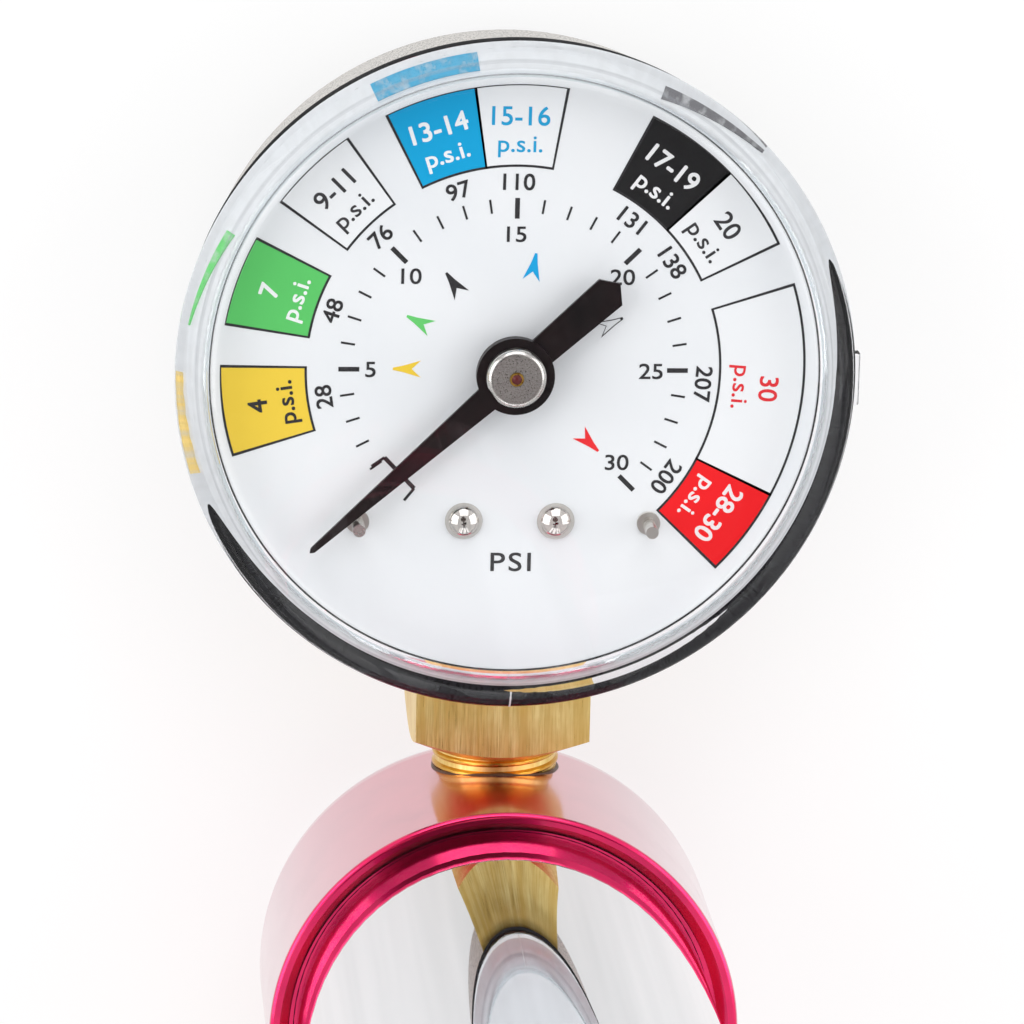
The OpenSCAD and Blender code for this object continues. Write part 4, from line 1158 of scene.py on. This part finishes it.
@dataclass
class GaugeLens:
    """The clear moulded lens, with the tab that it is pressed on by and the scar of its gate."""

    origin: np.ndarray
    case_r: float = 25.65
    outer_r: float = 26.65
    draft: float = 0.7
    front: float = 5.4
    flat_r: float = 12.0
    edge_r: float = 2.0
    window: float = 1.6
    wall: float = 1.65
    fillet_r: float = 1.9
    lip: float = 0.8
    seat: float = 0.3
    tab_long: float = 4.2
    tab_out: float = 0.5
    tab_high: float = 0.7
    gate_wide: float = 0.12
    gate_proud: float = 0.03
    white_reflection_skin: float = 0.03
    colour_reflection_skin: float = 0.06

    def profile(self) -> np.ndarray:
        """Follows the lens's cut section, from the lip out, over the front and back in.

        Returns:
            Radius and height of each point.
        """
        inner_r = self.outer_r - self.wall
        back = self.front - self.window
        return np.concatenate([
            [[self.case_r, self.seat], [self.case_r, -self.lip + 0.05], [self.case_r + 0.05, -self.lip]],
            [[self.outer_r - self.draft - 0.08, -self.lip], [self.outer_r - self.draft, -self.lip + 0.08]],
            arc((self.outer_r - self.edge_r, self.front - self.edge_r), self.edge_r, 0, 90, 18),
            [[self.outer_r - self.edge_r - 2.5, self.front], [self.flat_r, self.front], [0.0, self.front]],
            [[0.0, back], [self.flat_r, back]],
            arc((inner_r - self.fillet_r, back - self.fillet_r), self.fillet_r, 90, 0, 18),
            [[inner_r, self.seat]],
        ])

    def put(self, name: str, shapes: list[Shape], finish: Finish, sharp: float,
            slot: str = "clear_lens") -> bpy.types.Object:
        """Makes one piece of the lens, which stays with the pump.

        Args:
            name: the piece's name.
            shapes: what it is joined from.
            finish: its finish.
            sharp: edges that turn by more degrees than this stay sharp.
            slot: the record's material slot; not used.

        Returns:
            The piece.
        """
        return make_piece(name, shapes, finish, "pump", sharp, self.origin)

    def build(self) -> None:
        """Makes the lens, its tab, its gate mark, a black ring under its lip as painted shadow, and the
        dial's colours painted as reflections in its rim.
        """
        lens = self.put("lens", [spun(self.profile(), 288, closed=True)], CLEAR, 25.0)
        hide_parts("gauge_lens")
        self.put("lens_tab", [self.tab()], CLEAR, 40.0)
        self.put("lens_gate_mark", [self.gate()], FROSTED, 60.0)
        white_reflections = [self.reflection_skin(reach, self.white_reflection_skin) for reach in PAINTED_WHITE_REACH]
        self.put("rim_reflection_ring", white_reflections, PAINTED_RIM_WHITE, 60.0)
        # each box's colour painted as a reflection in the rim, as a piece of its own
        for smear in RIM_REFLECTIONS:
            name = f"rim_{smear.word}"
            self.put(name, [self.reflection_skin(smear, self.colour_reflection_skin)], PaintedRimReflection(name, smear.colour), 60.0)
        # painted shadow: a black ring where the gap under the lens's lip lies in shade
        self.put("lens_shadow_seam", [self.shadow_seam()], RUBBER, 60.0, "black_rubber")

    def shadow_seam(self) -> Patch:
        """Puts a black ring under the lens's lip as painted shadow of the gap there: a thin closed profile
        spun about the axis.

        Returns:
            The patch.
        """
        profile = np.array([[self.case_r - 0.05, -self.lip - 0.24], [self.case_r + 0.4, -self.lip - 0.2],
                            [self.case_r + 0.55, -self.lip - 0.02], [self.case_r - 0.05, -self.lip - 0.02]])
        return spun(profile, 180, closed=True)

    def rim_line(self, way: np.ndarray, half: float) -> np.ndarray:
        """Finds points at distances round the lens's inner corner, moved off its surface by half a skin.

        Up to a quarter turn of the fillet, radius = centre + (R + half) sin(way / R) and the height goes
        with the cosine; further on the line drops straight down the wall.

        Args:
            way: distances from the fillet's start on the window.
            half: half the skin's thickness, negative on the other side.

        Returns:
            Radius and height of each point.
        """
        centre = np.array([self.outer_r - self.wall - self.fillet_r,
                           self.front - self.window - self.fillet_r])
        a = np.minimum(way / self.fillet_r, np.pi / 2)
        down = np.maximum(way - self.fillet_r * np.pi / 2, 0.0)
        line = (self.fillet_r + half) * np.stack([np.sin(a), np.cos(a)], -1)
        line[..., 1] -= down
        return centre + line

    def reflection_skin(self, reach: Reach, half: float) -> Patch:
        """Lays a skin of painted reflection on the lens's inner corner: its edges go evenly from first to
        last.

        Args:
            reach: where the skin lies.
            half: half its thickness.

        Returns:
            A closed ring for a full turn, or a strip that is shut at both ends.
        """
        whole = reach.high - reach.low == 360
        share = np.linspace(0, 1, 289 if whole else 40)[: -1 if whole else None, None]
        a = np.radians(reach.low + share * (reach.high - reach.low))
        first, last = np.array(reach.first), np.array(reach.last)
        edges = first + share * (last - first)
        across = np.linspace(0, 1, 10)[None, :]
        way = edges[:, :1] + across * (edges[:, 1:] - edges[:, :1])
        section = np.concatenate([self.rim_line(way, half), self.rim_line(way[:, ::-1], -half)], 1)
        r, z = section[..., 0], section[..., 1]
        points = np.stack([r * np.cos(a), r * np.sin(a), z], -1)[:, ::-1]
        return Patch(points, wrap_rows=True, wrap_columns=True) if whole else capped(points)

    def tab(self) -> Patch:
        """Sweeps a superellipse along Y: a rounded bar on the lens's right side, shut at both ends.

        The section is x = sign(cos a) |cos a|^p and z = sign(sin a) |sin a|^p, times half its sizes.

        Returns:
            The patch.
        """
        across = np.linspace(0, 2 * np.pi, 32, endpoint=False)
        along = np.array([-0.5, -0.5, -0.48, -0.45, 0.45, 0.48, 0.5, 0.5]) * self.tab_long
        size = np.array([0.0, 0.8, 0.95, 1.0, 1.0, 0.95, 0.8, 0.0])[:, None]
        power = 0.35
        c, s = np.cos(across), np.sin(across)
        x = self.outer_r - 0.1 + size * self.tab_out * np.sign(c) * np.abs(c) ** power
        z = self.front - self.edge_r - 0.6 + size * self.tab_high * np.sign(s) * np.abs(s) ** power
        y = np.broadcast_to(along[:, None], x.shape)
        return Patch(np.stack([x, y, z], -1), wrap_columns=True)

    def gate(self) -> Patch:
        """Lays a strip over the lens's edge at its foot: the edge's arc moved out by a hair, with a width.

        The width is gate_wide times (0.5 + 0.18 sin 2.3 k) to each side at the arc's point k.

        Returns:
            The patch, shut at both ends.
        """
        line = arc((self.outer_r - self.edge_r, self.front - self.edge_r), self.edge_r + self.gate_proud,
                   -30, 78, 20)
        line[line[:, 1] < self.front - self.edge_r, 0] = self.outer_r + self.gate_proud
        inner = line - np.array([0.12, 0.08])
        half = self.gate_wide * (0.5 + 0.18 * np.sin(np.arange(len(line)) * 2.3))
        rings = [(-half, inner), (-half, line), (half, line), (half, inner)]
        return capped(np.stack([np.column_stack([x, -rz[:, 0], rz[:, 1]]) for x, rz in rings], 1))


@dataclass(frozen=True)
class Band:
    """One box of the dial: its angles, its ground, its numbers, the same in kilopascals, and its arrow."""

    low: float
    high: float
    ground: str
    numbers: str
    metric: str
    letters: str
    arrow: float | None = None
    arrow_colour: str | None = None

    @property
    def middle(self) -> float:
        """The box's middle angle in degrees."""
        return (self.low + self.high) / 2


@dataclass
class DialPrint:
    """Everything printed on the dial: scale, numbers, boxes and arrowheads, each a film of ink."""

    origin: np.ndarray
    full_scale: int = 30
    zero_angle: float = 225.0
    degrees_each: float = 9.0
    minor_r: float = 13.22
    minor_long: float = 1.12
    minor_wide: float = 0.17
    major_r: float = 12.95
    major_long: float = 1.65
    major_wide: float = 0.37
    zero_from: float = 215.4
    zero_to: float = 231.6
    zero_in: float = 12.3
    zero_out: float = 13.55
    zero_wide: float = 0.34
    zero_thin: float = 0.22
    number_high: float = 1.28
    scale_weight: float = 0.014
    box_in: float = 16.35
    box_out: float = 23.05
    box_number_r: float = 20.35
    box_number_high: float = 1.55
    box_unit_r: float = 18.15
    box_unit_high: float = 1.4
    box_weight: float = 0.02
    box_bold: float = 0.035
    metric_r: float = 15.1
    metric_high: float = 1.35
    arrow_r: float = 9.5
    line: float = 0.19
    line_r: float = 19.4
    back: float = -0.01
    ground_high: float = 0.012
    line_high: float = 0.022
    type_high: float = 0.026
    margin_in: float = 24.5
    margin_out: float = 24.88

    NUMBERS: ClassVar[tuple[tuple[str, Point], ...]] = (
        ("5", (-11.25, 0.03)), ("10", (-8.17, 7.52)), ("15", (-0.01, 10.92)),
        ("20", (8.41, 7.53)), ("25", (10.85, -0.04)), ("30", (8.36, -7.44)),
    )
    BANDS: ClassVar[tuple[Band, ...]] = (
        Band(179.5, 197.6, "#F5D246", "4", "28", BLACK_INK.colour, 179.7, "#F3CF3F"),
        Band(152.8, 171.0, "#5FCB6A", "7", "48", "#F4F7F5", 153.1, "#69D070"),
        Band(126.0, 144.1, WHITE.colour, "9-11", "76", "#3A393B", 125.1, BLACK_INK.colour),
        Band(98.8, 117.1, "#00A6DC", "13-14", "97", "#F4F7F8", 80.5, "#12A5E0"),
        Band(80.5, 98.8, WHITE.colour, "15-16", "110", "#1FA3D6"),
        Band(43.7, 62.6, "#161516", "17-19", "131", "#F2F2F2", 26.3, None),
        Band(26.5, 43.7, WHITE.colour, "20", "138", "#3A393B"),
        Band(-26.0, 17.65, WHITE.colour, "30", "207", "#E5323A"),
        Band(-44.2, -26.0, "#F5131B", "28-30", "200", "#F8ECEC", -43.7, "#EE2A30"),
    )

    def angle(self, value: float) -> float:
        """The scale's angle for a pressure in psi: zero's angle less nine degrees for each."""
        return self.zero_angle - self.degrees_each * value

    def put(self, name: str, shapes: list[Shape], colour: str = BLACK_INK.colour) -> None:
        """Makes one piece of print that stays with the pump, in an ink that is named for its colour.

        Args:
            name: the piece's name.
            shapes: what it is joined from.
            colour: the ink's colour in hex.
        """
        black = colour == BLACK_INK.colour
        ink = BLACK_INK if black else PrintInk("ink_" + colour[1:].lower(), colour, colour)
        make_piece(name, shapes, ink, "pump", 30.0, self.origin)

    def film(self, outline: np.ndarray) -> Film:
        """A closed outline as a film of ink, as high as the lines are."""
        return Film(outline, self.back, self.line_high)

    def labels(self, labels: list[Label]) -> list[Shape]:
        """Labels as films of ink that stand a little over the lines."""
        return [Print(label, self.back, self.type_high) for label in labels]

    def scale(self) -> list[Shape]:
        """Draws thirty ticks, each fifth one long and heavy, and the bracket that stands for zero.

        Returns:
            The films.
        """
        films = []
        for value in range(1, self.full_scale + 1):
            heavy = value % 5 == 0
            middle = self.major_r if heavy else self.minor_r
            half = (self.major_long if heavy else self.minor_long) / 2
            wide = self.major_wide if heavy else self.minor_wide
            a = self.angle(value)
            films.append(self.film(bar_outline(polar(middle - half, a), polar(middle + half, a), wide)))
        ends = (self.zero_from, self.zero_to)
        feet = [polar(self.zero_in, a) for a in ends]
        films.append(self.film(bar_outline(feet[0], feet[1], self.zero_wide)))
        films += [self.film(bar_outline(foot, polar(self.zero_out, a), self.zero_thin))
                  for foot, a in zip(feet, ends)]
        return films

    def arrowhead(self, angle: float, grow: float = 1.0) -> np.ndarray:
        """Draws a swallow-tailed dart that points outwards: half its outline, mirrored, turned and moved.

        Args:
            angle: where it stands on the dial, in degrees.
            grow: its size against the plain one, about a point inside it.

        Returns:
            The closed outline.
        """
        inside = -1.1
        half = np.array([[0.0, 0.09], [-0.8, 0.26], [-2.2, 0.68]])
        half = (half - [inside, 0]) * grow + [inside, 0]
        notch = np.array([[-1.48 - 0.3 * (grow - 1), 0.0]])
        outline = np.concatenate([half, notch, half[::-1] * [1, -1]])
        return turned(outline, angle) + polar(self.arrow_r, angle)

    def outlined(self, outer: np.ndarray, inner: np.ndarray) -> Patch:
        """Fills the space between two outlines with a thin closed line of ink.

        Args:
            outer: the outer outline.
            inner: the inner one, with as many points.

        Returns:
            The patch.
        """
        rings = [(outer, self.back), (outer, self.line_high), (inner, self.line_high), (inner, self.back)]
        points = np.stack([np.column_stack([o, np.full(len(o), z)]) for o, z in rings], 1)
        return Patch(points, wrap_rows=True, wrap_columns=True)

    def box_line(self, band: Band) -> Patch:
        """Draws the black line round a box: its outline, and the same drawn in by the line's width.

        Args:
            band: the box.

        Returns:
            The patch.
        """
        turn = math.degrees(self.line / 2 / self.line_r)
        outer = sector_outline(self.box_in - self.line / 2, self.box_out + self.line / 2,
                               band.low - turn, band.high + turn)
        inner = sector_outline(self.box_in + self.line / 2, self.box_out - self.line / 2,
                               band.low + turn, band.high - turn)
        return self.outlined(outer, inner)

    def box_labels(self, band: Band) -> list[Label]:
        """Sets a box's numbers over its unit, both facing outwards, and bolder on a coloured ground.

        Args:
            band: the box.

        Returns:
            The two labels.
        """
        weight = self.box_weight if band.ground == WHITE.colour else self.box_bold
        turn = band.middle - 90
        return [Label(band.numbers, tuple(polar(self.box_number_r, band.middle)), self.box_number_high, turn,
                      wide=1.02, weight=weight),
                Label("p.s.i.", tuple(polar(self.box_unit_r, band.middle)), self.box_unit_high, turn,
                      wide=1.08, weight=weight * 0.7)]

    def margin(self) -> Patch:
        """Spins a flat white ring about the dial's axis, which widens it to just short of the lens's wall.

        Returns:
            The patch.
        """
        low, high = -0.3, -0.004
        profile = np.array([[self.margin_in, low], [self.margin_out, low],
                            [self.margin_out, high], [self.margin_in, high]])
        return spun(profile, 180, closed=True)

    def build(self) -> None:
        """Prints the dial: its scale, its boxes with their numbers and arrows, and the metric numbers."""
        self.put("scale_marks", self.scale())
        numbers = [Label(words, place, self.number_high, wide=1.16, weight=self.scale_weight)
                   for words, place in self.NUMBERS]
        numbers.append(Label("PSI", (0.14, -15.6), 1.58, wide=1.2, weight=self.scale_weight, spacing=1.15))
        self.put("scale_numbers", self.labels(numbers))
        for band in self.BANDS:
            tag = band.numbers.replace("-", "_")
            ground = Film(sector_outline(self.box_in, self.box_out, band.low, band.high), self.back,
                          self.ground_high)
            self.put(f"box_{tag}", [ground], band.ground)
            self.put(f"box_{tag}_numbers", self.labels(self.box_labels(band)), band.letters)
            if band.arrow is not None and band.arrow_colour is not None:
                self.put(f"arrow_{tag}", [self.film(self.arrowhead(band.arrow))], band.arrow_colour)
        make_piece("dial_margin", [self.margin()], WHITE, "pump", 30.0, self.origin)
        self.put("box_lines", [self.box_line(band) for band in self.BANDS])
        open_at = next(band.arrow for band in self.BANDS if band.arrow and not band.arrow_colour)
        self.put("open_arrow", [self.outlined(self.arrowhead(open_at), self.arrowhead(open_at, 0.8))])
        metric = [Label(band.metric, tuple(polar(self.metric_r, band.middle)), self.metric_high,
                        band.middle - 90, wide=1.05) for band in self.BANDS]
        self.put("metric_numbers", self.labels(metric))


@dataclass
class GaugeWorks:
    """Dial plate, pointer, pins, rivets, casing and the movement behind them."""

    frame: dict
    origin: np.ndarray
    boss_r: float = 2.33
    boss_top: float = 3.3
    arbor_r: float = 0.55

    def build(self) -> None:
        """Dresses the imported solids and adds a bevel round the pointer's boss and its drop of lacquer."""
        dress(self.frame, WHITE, "dial_plate")
        dress(self.frame, BLACK_PAINT, "pointer")
        dress(self.frame, RIVET_STEEL, "dial_rivets")
        dress(self.frame, PIN_STEEL, "stop_pins")
        dress(self.frame, STEEL, "case_screws", "movement_screws", "hairspring", "sector_arbor", "tip_link")
        dress(self.frame, SATIN_STEEL, "pointer_boss")
        dress(self.frame, SHEET_BRASS, "pinion_arbor", "sector_gear", "movement_back", "movement_front",
              "movement_pillars", "bourdon_tube", "tube_tip")
        dress(self.frame, ENAMEL, "gauge_case")
        dress(self.frame, RUBBER, "relief_plug")
        self.boss()

    def boss(self) -> None:
        """Trims the turned boss: a bright bevel spun round its top, and a domed drop over the arbor."""
        top = self.boss_top
        drop = np.concatenate([[[0.0, top - 0.02], [self.arbor_r - 0.1, top - 0.02]],
                               arc((0, top - 0.25), self.arbor_r - 0.05, 35, 90, 10)])
        make_piece("sealer_drop", [spun(drop, 48)], RED_DROP, "needle", 60.0, self.origin)
        ring = np.array([[self.boss_r - 0.01, top - 0.29], [self.boss_r + 0.012, top - 0.285],
                         [self.boss_r + 0.012, top - 0.27], [self.boss_r - 0.30, top + 0.012],
                         [self.boss_r - 0.36, top + 0.014], [self.boss_r - 0.37, top - 0.02]])
        make_piece("boss_bevel", [spun(ring, 96, closed=True)], STEEL, "needle", 50.0,
                   self.origin)


@dataclass
class GaugeStem:
    """The milled square stem and the thread that shows below it."""

    frame: dict
    origin: np.ndarray
    drop: float = 8.1
    start: float = 33.0
    end: float = 36.4
    root_r: float = 4.85
    crest_r: float = 5.15
    pitch: float = 0.94
    run_out: float = 0.5
    wall: float = 0.6
    head_r: float = 18.8
    bead: float = 0.14
    bead_gap: float = 0.22

    def build(self) -> None:
        """Dresses the stem, cuts its thread and lays the bead of sealant round it."""
        dress(self.frame, MILLED_BRASS, "gauge_stem")
        axis = self.origin - np.array([0, 0, self.drop])
        make_piece("stem_thread", [self.thread()], TURNED_BRASS, "pump", 30.0, axis)
        make_piece("thread_sealant", [self.sealant()], SEALANT, "pump", 60.0,
                   np.array([0, 0, axis[2]]))

    def sealant(self) -> Patch:
        """Lays a bead round the hole's mouth: x = r cos t, z = r sin t, and y = root of R2 - x2 on the head.

        The bead's own radius is bead times (1 + 0.25 sin 5t + 0.15 sin(13t + 1)).

        Returns:
            The patch.
        """
        t = np.linspace(0, 2 * np.pi, 96, endpoint=False)[:, None]
        q = np.linspace(0, 2 * np.pi, 12, endpoint=False)[None, :]
        size = self.bead * (1 + 0.25 * np.sin(5 * t) + 0.15 * np.sin(13 * t + 1))
        r = self.root_r + self.bead_gap + size * np.cos(q)
        x, z = r * np.cos(t), r * np.sin(t)
        y = np.sqrt(self.head_r ** 2 - x ** 2) + size * np.sin(q)
        return Patch(np.stack([x, y, z], -1), wrap_rows=True, wrap_columns=True)

    def thread(self) -> Patch:
        """Cuts a helical thread about Y: the radius follows a rounded tooth of (distance / pitch - turn).

        The thread fades to a plain shank over its first half millimetre.

        Returns:
            The patch, closed by a hollow inside.
        """
        along = np.linspace(self.start, self.end, 90)[:, None]
        turn = np.linspace(0, 1, 144, endpoint=False)[None, :]
        phase = (along / self.pitch - turn) % 1.0
        tooth = np.clip(1.35 - np.abs(phase - 0.5) * 3.4, 0, 1)
        fade = np.clip((along - self.start) / self.run_out, 0, 1)
        radius = self.root_r + (self.crest_r - self.root_r) * np.maximum(tooth, 1 - fade)
        a = 2 * np.pi * turn
        outside = np.stack([radius * np.cos(a), -along + 0 * a, radius * np.sin(a)], -1)
        inside_r = self.root_r - self.wall
        hoop = np.stack([inside_r * np.cos(a), 0 * a, inside_r * np.sin(a)], -1)
        first, last = hoop - [0, self.start, 0], hoop - [0, self.end, 0]
        return Patch(np.concatenate([first, outside, last]), wrap_rows=True, wrap_columns=True)


# ---------------------------------------------------------------- pump


@dataclass
class Pump:
    """Head, valves, outlet, barrel, gland and plunger."""

    frame: dict

    def build(self) -> None:
        """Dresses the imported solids."""
        dress(self.frame, PINK, "pump_head", "gland_cap")
        dress(self.frame, MIRROR, "barrel", "base_plug", "piston")
        dress(self.frame, STEEL, "check_ball", "check_spring", "bleed_spring", "plunger_rod", "cup_washer",
              "piston_nut", "handle_nut")
        dress(self.frame, BUSH_BRASS, "rod_bush", "bleed_body")
        dress(self.frame, TURNED_BRASS, "outlet_plug")
        dress(self.frame, RUBBER, "bleed_seal", "barrel_gasket", "piston_cup", "bumper")
        dress(self.frame, NYLON, "bleed_button", "handle")


# ---------------------------------------------------------------- studio


@dataclass
class PhotoCamera:
    """The camera of the photograph: its place in millimetres, its turns in degrees and its lens."""

    place: tuple[float, float, float] = (-37.643, 155.776, 450.0)
    yaw: float = -5.031
    pitch: float = -14.817
    roll: float = 1.400
    focal: float = 198.303
    sensor: float = 36.0
    near_m: float = 0.01
    far_m: float = 50.0

    def build(self) -> None:
        """Sets the camera up: it looks down the gauge's axis, from above and a little to the left."""
        data = bpy.data.cameras.new("camera")
        data.lens = self.focal
        data.sensor_width = self.sensor
        data.clip_start = self.near_m
        data.clip_end = self.far_m
        camera = bpy.data.objects.new("camera", data)
        turns = [Matrix.Rotation(math.radians(a), 4, axis)
                 for a, axis in ((self.yaw, "Y"), (self.pitch, "X"), (self.roll, "Z"))]
        place = Matrix.Translation([c * MM for c in self.place])
        camera.matrix_world = place @ turns[0] @ turns[1] @ turns[2]
        bpy.context.scene.collection.objects.link(camera)
        bpy.context.scene.camera = camera


@dataclass(frozen=True)
class SoftBox:
    """A square lamp: its place and its side in metres, and its power in watts."""

    name: str
    place: tuple[float, float, float]
    side: float
    power: float

    def build(self) -> None:
        """Stands the lamp up so that it faces the object."""
        lamp = bpy.data.lights.new(self.name, "AREA")
        lamp.shape = "SQUARE"
        lamp.size = self.side
        lamp.energy = self.power
        box = bpy.data.objects.new(self.name, lamp)
        way = Vector(self.place)
        box.location = way
        box.rotation_mode = "QUATERNION"
        box.rotation_quaternion = way.to_track_quat("Z", "Y")
        bpy.context.scene.collection.objects.link(box)


@dataclass(frozen=True)
class Card:
    """A dark shape that hangs level over the gauge and shows only in metal and glass, in metres."""

    name: str
    colour: str
    corners: tuple[Point, ...]
    height: float = 0.62

    def build(self) -> None:
        """Hangs the card, unlit and unseen by all but mirrored and bent rays."""
        mesh = bpy.data.meshes.new(self.name)
        mesh.from_pydata([(x, y, self.height) for x, y in self.corners], [],
                         [list(range(len(self.corners)))])
        card = bpy.data.objects.new(self.name, mesh)
        bpy.context.scene.collection.objects.link(card)
        cloth = blank_material(self.name)
        dim = add_node(cloth.node_tree, "ShaderNodeEmission",
                       {"Color": linear(self.colour), "Strength": 1.0})
        add_node(cloth.node_tree, "ShaderNodeOutputMaterial", {"Surface": dim.outputs[0]})
        mesh.materials.append(cloth)
        card.visible_camera = False
        card.visible_diffuse = False
        card.visible_shadow = False


@dataclass
class Studio:
    """White floor, white surroundings, soft boxes and the dark cards that the glass and metal mirror."""

    floor_size: float = 6.0
    paper: str = "#F7F7F7"
    glow: float = 1.04
    sky: float = 0.57
    shadow: float = 0.3
    boxes: tuple[SoftBox, ...] = (
        SoftBox("left_box", (-0.75, 0.15, 0.45), 0.8, 3.85),
        SoftBox("right_box", (0.8, 0.2, 0.5), 0.8, 3.35),
        SoftBox("far_box", (0.0, 0.95, 0.55), 0.9, 4.25),
        SoftBox("near_box", (0.0, -0.9, 0.5), 0.8, 1.95),
    )
    cards: tuple[Card, ...] = (
        Card("dark_window", "#0C0C0D", ((-0.06, -0.158), (0.15, -0.158), (0.15, 0.03), (-0.06, 0.03))),
        Card("overhead_card", "#6A6260", ((-0.2, 0.1), (-0.05, 0.03), (0.1, 0.1), (0.13, 0.22),
                                          (0.05, 0.34), (-0.05, 0.42), (-0.15, 0.34), (-0.23, 0.22))),
    )

    def build(self) -> None:
        """Lights the object."""
        self.world()
        self.floor()
        for part in (*self.boxes, *self.cards):
            part.build()
        bpy.context.scene.view_settings.view_transform = "Standard"

    def world(self) -> None:
        """Makes the world white to the eye, to metal and to glass, and a plain light for the rest."""
        world = bpy.data.worlds.new("studio")
        bpy.context.scene.world = world
        world.use_nodes = True
        tree = world.node_tree
        tree.nodes.clear()
        level = add_node(tree, "ShaderNodeMix", {0: self.seen(tree), 2: self.sky, 3: 1.0}, data_type="FLOAT")
        light = add_node(tree, "ShaderNodeBackground",
                         {"Color": linear("#FFFFFF"), "Strength": level.outputs[0]})
        add_node(tree, "ShaderNodeOutputWorld", {"Surface": light.outputs[0]})

    @staticmethod
    def seen(tree: Tree) -> Socket:
        """Tells the rays that should see white from those that only carry light.

        Args:
            tree: the material's or world's node tree.

        Returns:
            1 for the camera's rays and for those off metal and through glass, else 0.
        """
        ray = add_node(tree, "ShaderNodeLightPath")
        first = add_node(tree, "ShaderNodeMath",
                         {0: ray.outputs["Is Camera Ray"], 1: ray.outputs["Is Glossy Ray"]},
                         operation="MAXIMUM")
        return add_node(tree, "ShaderNodeMath",
                        {0: first.outputs[0], 1: ray.outputs["Is Transmission Ray"]},
                        operation="MAXIMUM").outputs[0]

    def floor(self) -> None:
        """Lays a white table top: part paper that takes the shadow, part plain white to the eye."""
        half = self.floor_size / 2
        mesh = bpy.data.meshes.new("floor")
        mesh.from_pydata([(-half, -half, 0), (half, -half, 0), (half, half, 0), (-half, half, 0)], [],
                         [(0, 1, 2, 3)])
        floor = bpy.data.objects.new("floor", mesh)
        bpy.context.scene.collection.objects.link(floor)
        paper = blank_material("white_paper")
        tree = paper.node_tree
        matt = add_node(tree, "ShaderNodeBsdfDiffuse", {"Color": linear(self.paper)})
        bright = add_node(tree, "ShaderNodeEmission", {"Color": linear("#FFFFFF"), "Strength": self.glow})
        share = add_node(tree, "ShaderNodeMath", {0: self.seen(tree), 1: 1.0 - self.shadow},
                         operation="MULTIPLY")
        mixed = add_node(tree, "ShaderNodeMixShader",
                         {0: share.outputs[0], 1: matt.outputs[0], 2: bright.outputs[0]})
        add_node(tree, "ShaderNodeOutputMaterial", {"Surface": mixed.outputs[0]})
        mesh.materials.append(paper)


def gauge_origin() -> np.ndarray:
    """The middle of the dial's printed face in millimetres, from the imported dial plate's box."""
    low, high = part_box("dial_plate")
    return np.array([(low.x + high.x) / 2, (low.y + high.y) / 2, high.z]) / MM


def main() -> None:
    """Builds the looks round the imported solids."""
    logging.basicConfig(level=logging.INFO, format="%(message)s")
    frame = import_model()
    origin = gauge_origin()
    PhotoCamera().build()
    Studio().build()
    GaugeLens(origin).build()
    DialPrint(origin).build()
    GaugeWorks(frame, origin).build()
    GaugeStem(frame, origin).build()
    Pump(frame).build()


if __name__ == "__main__":
    main()
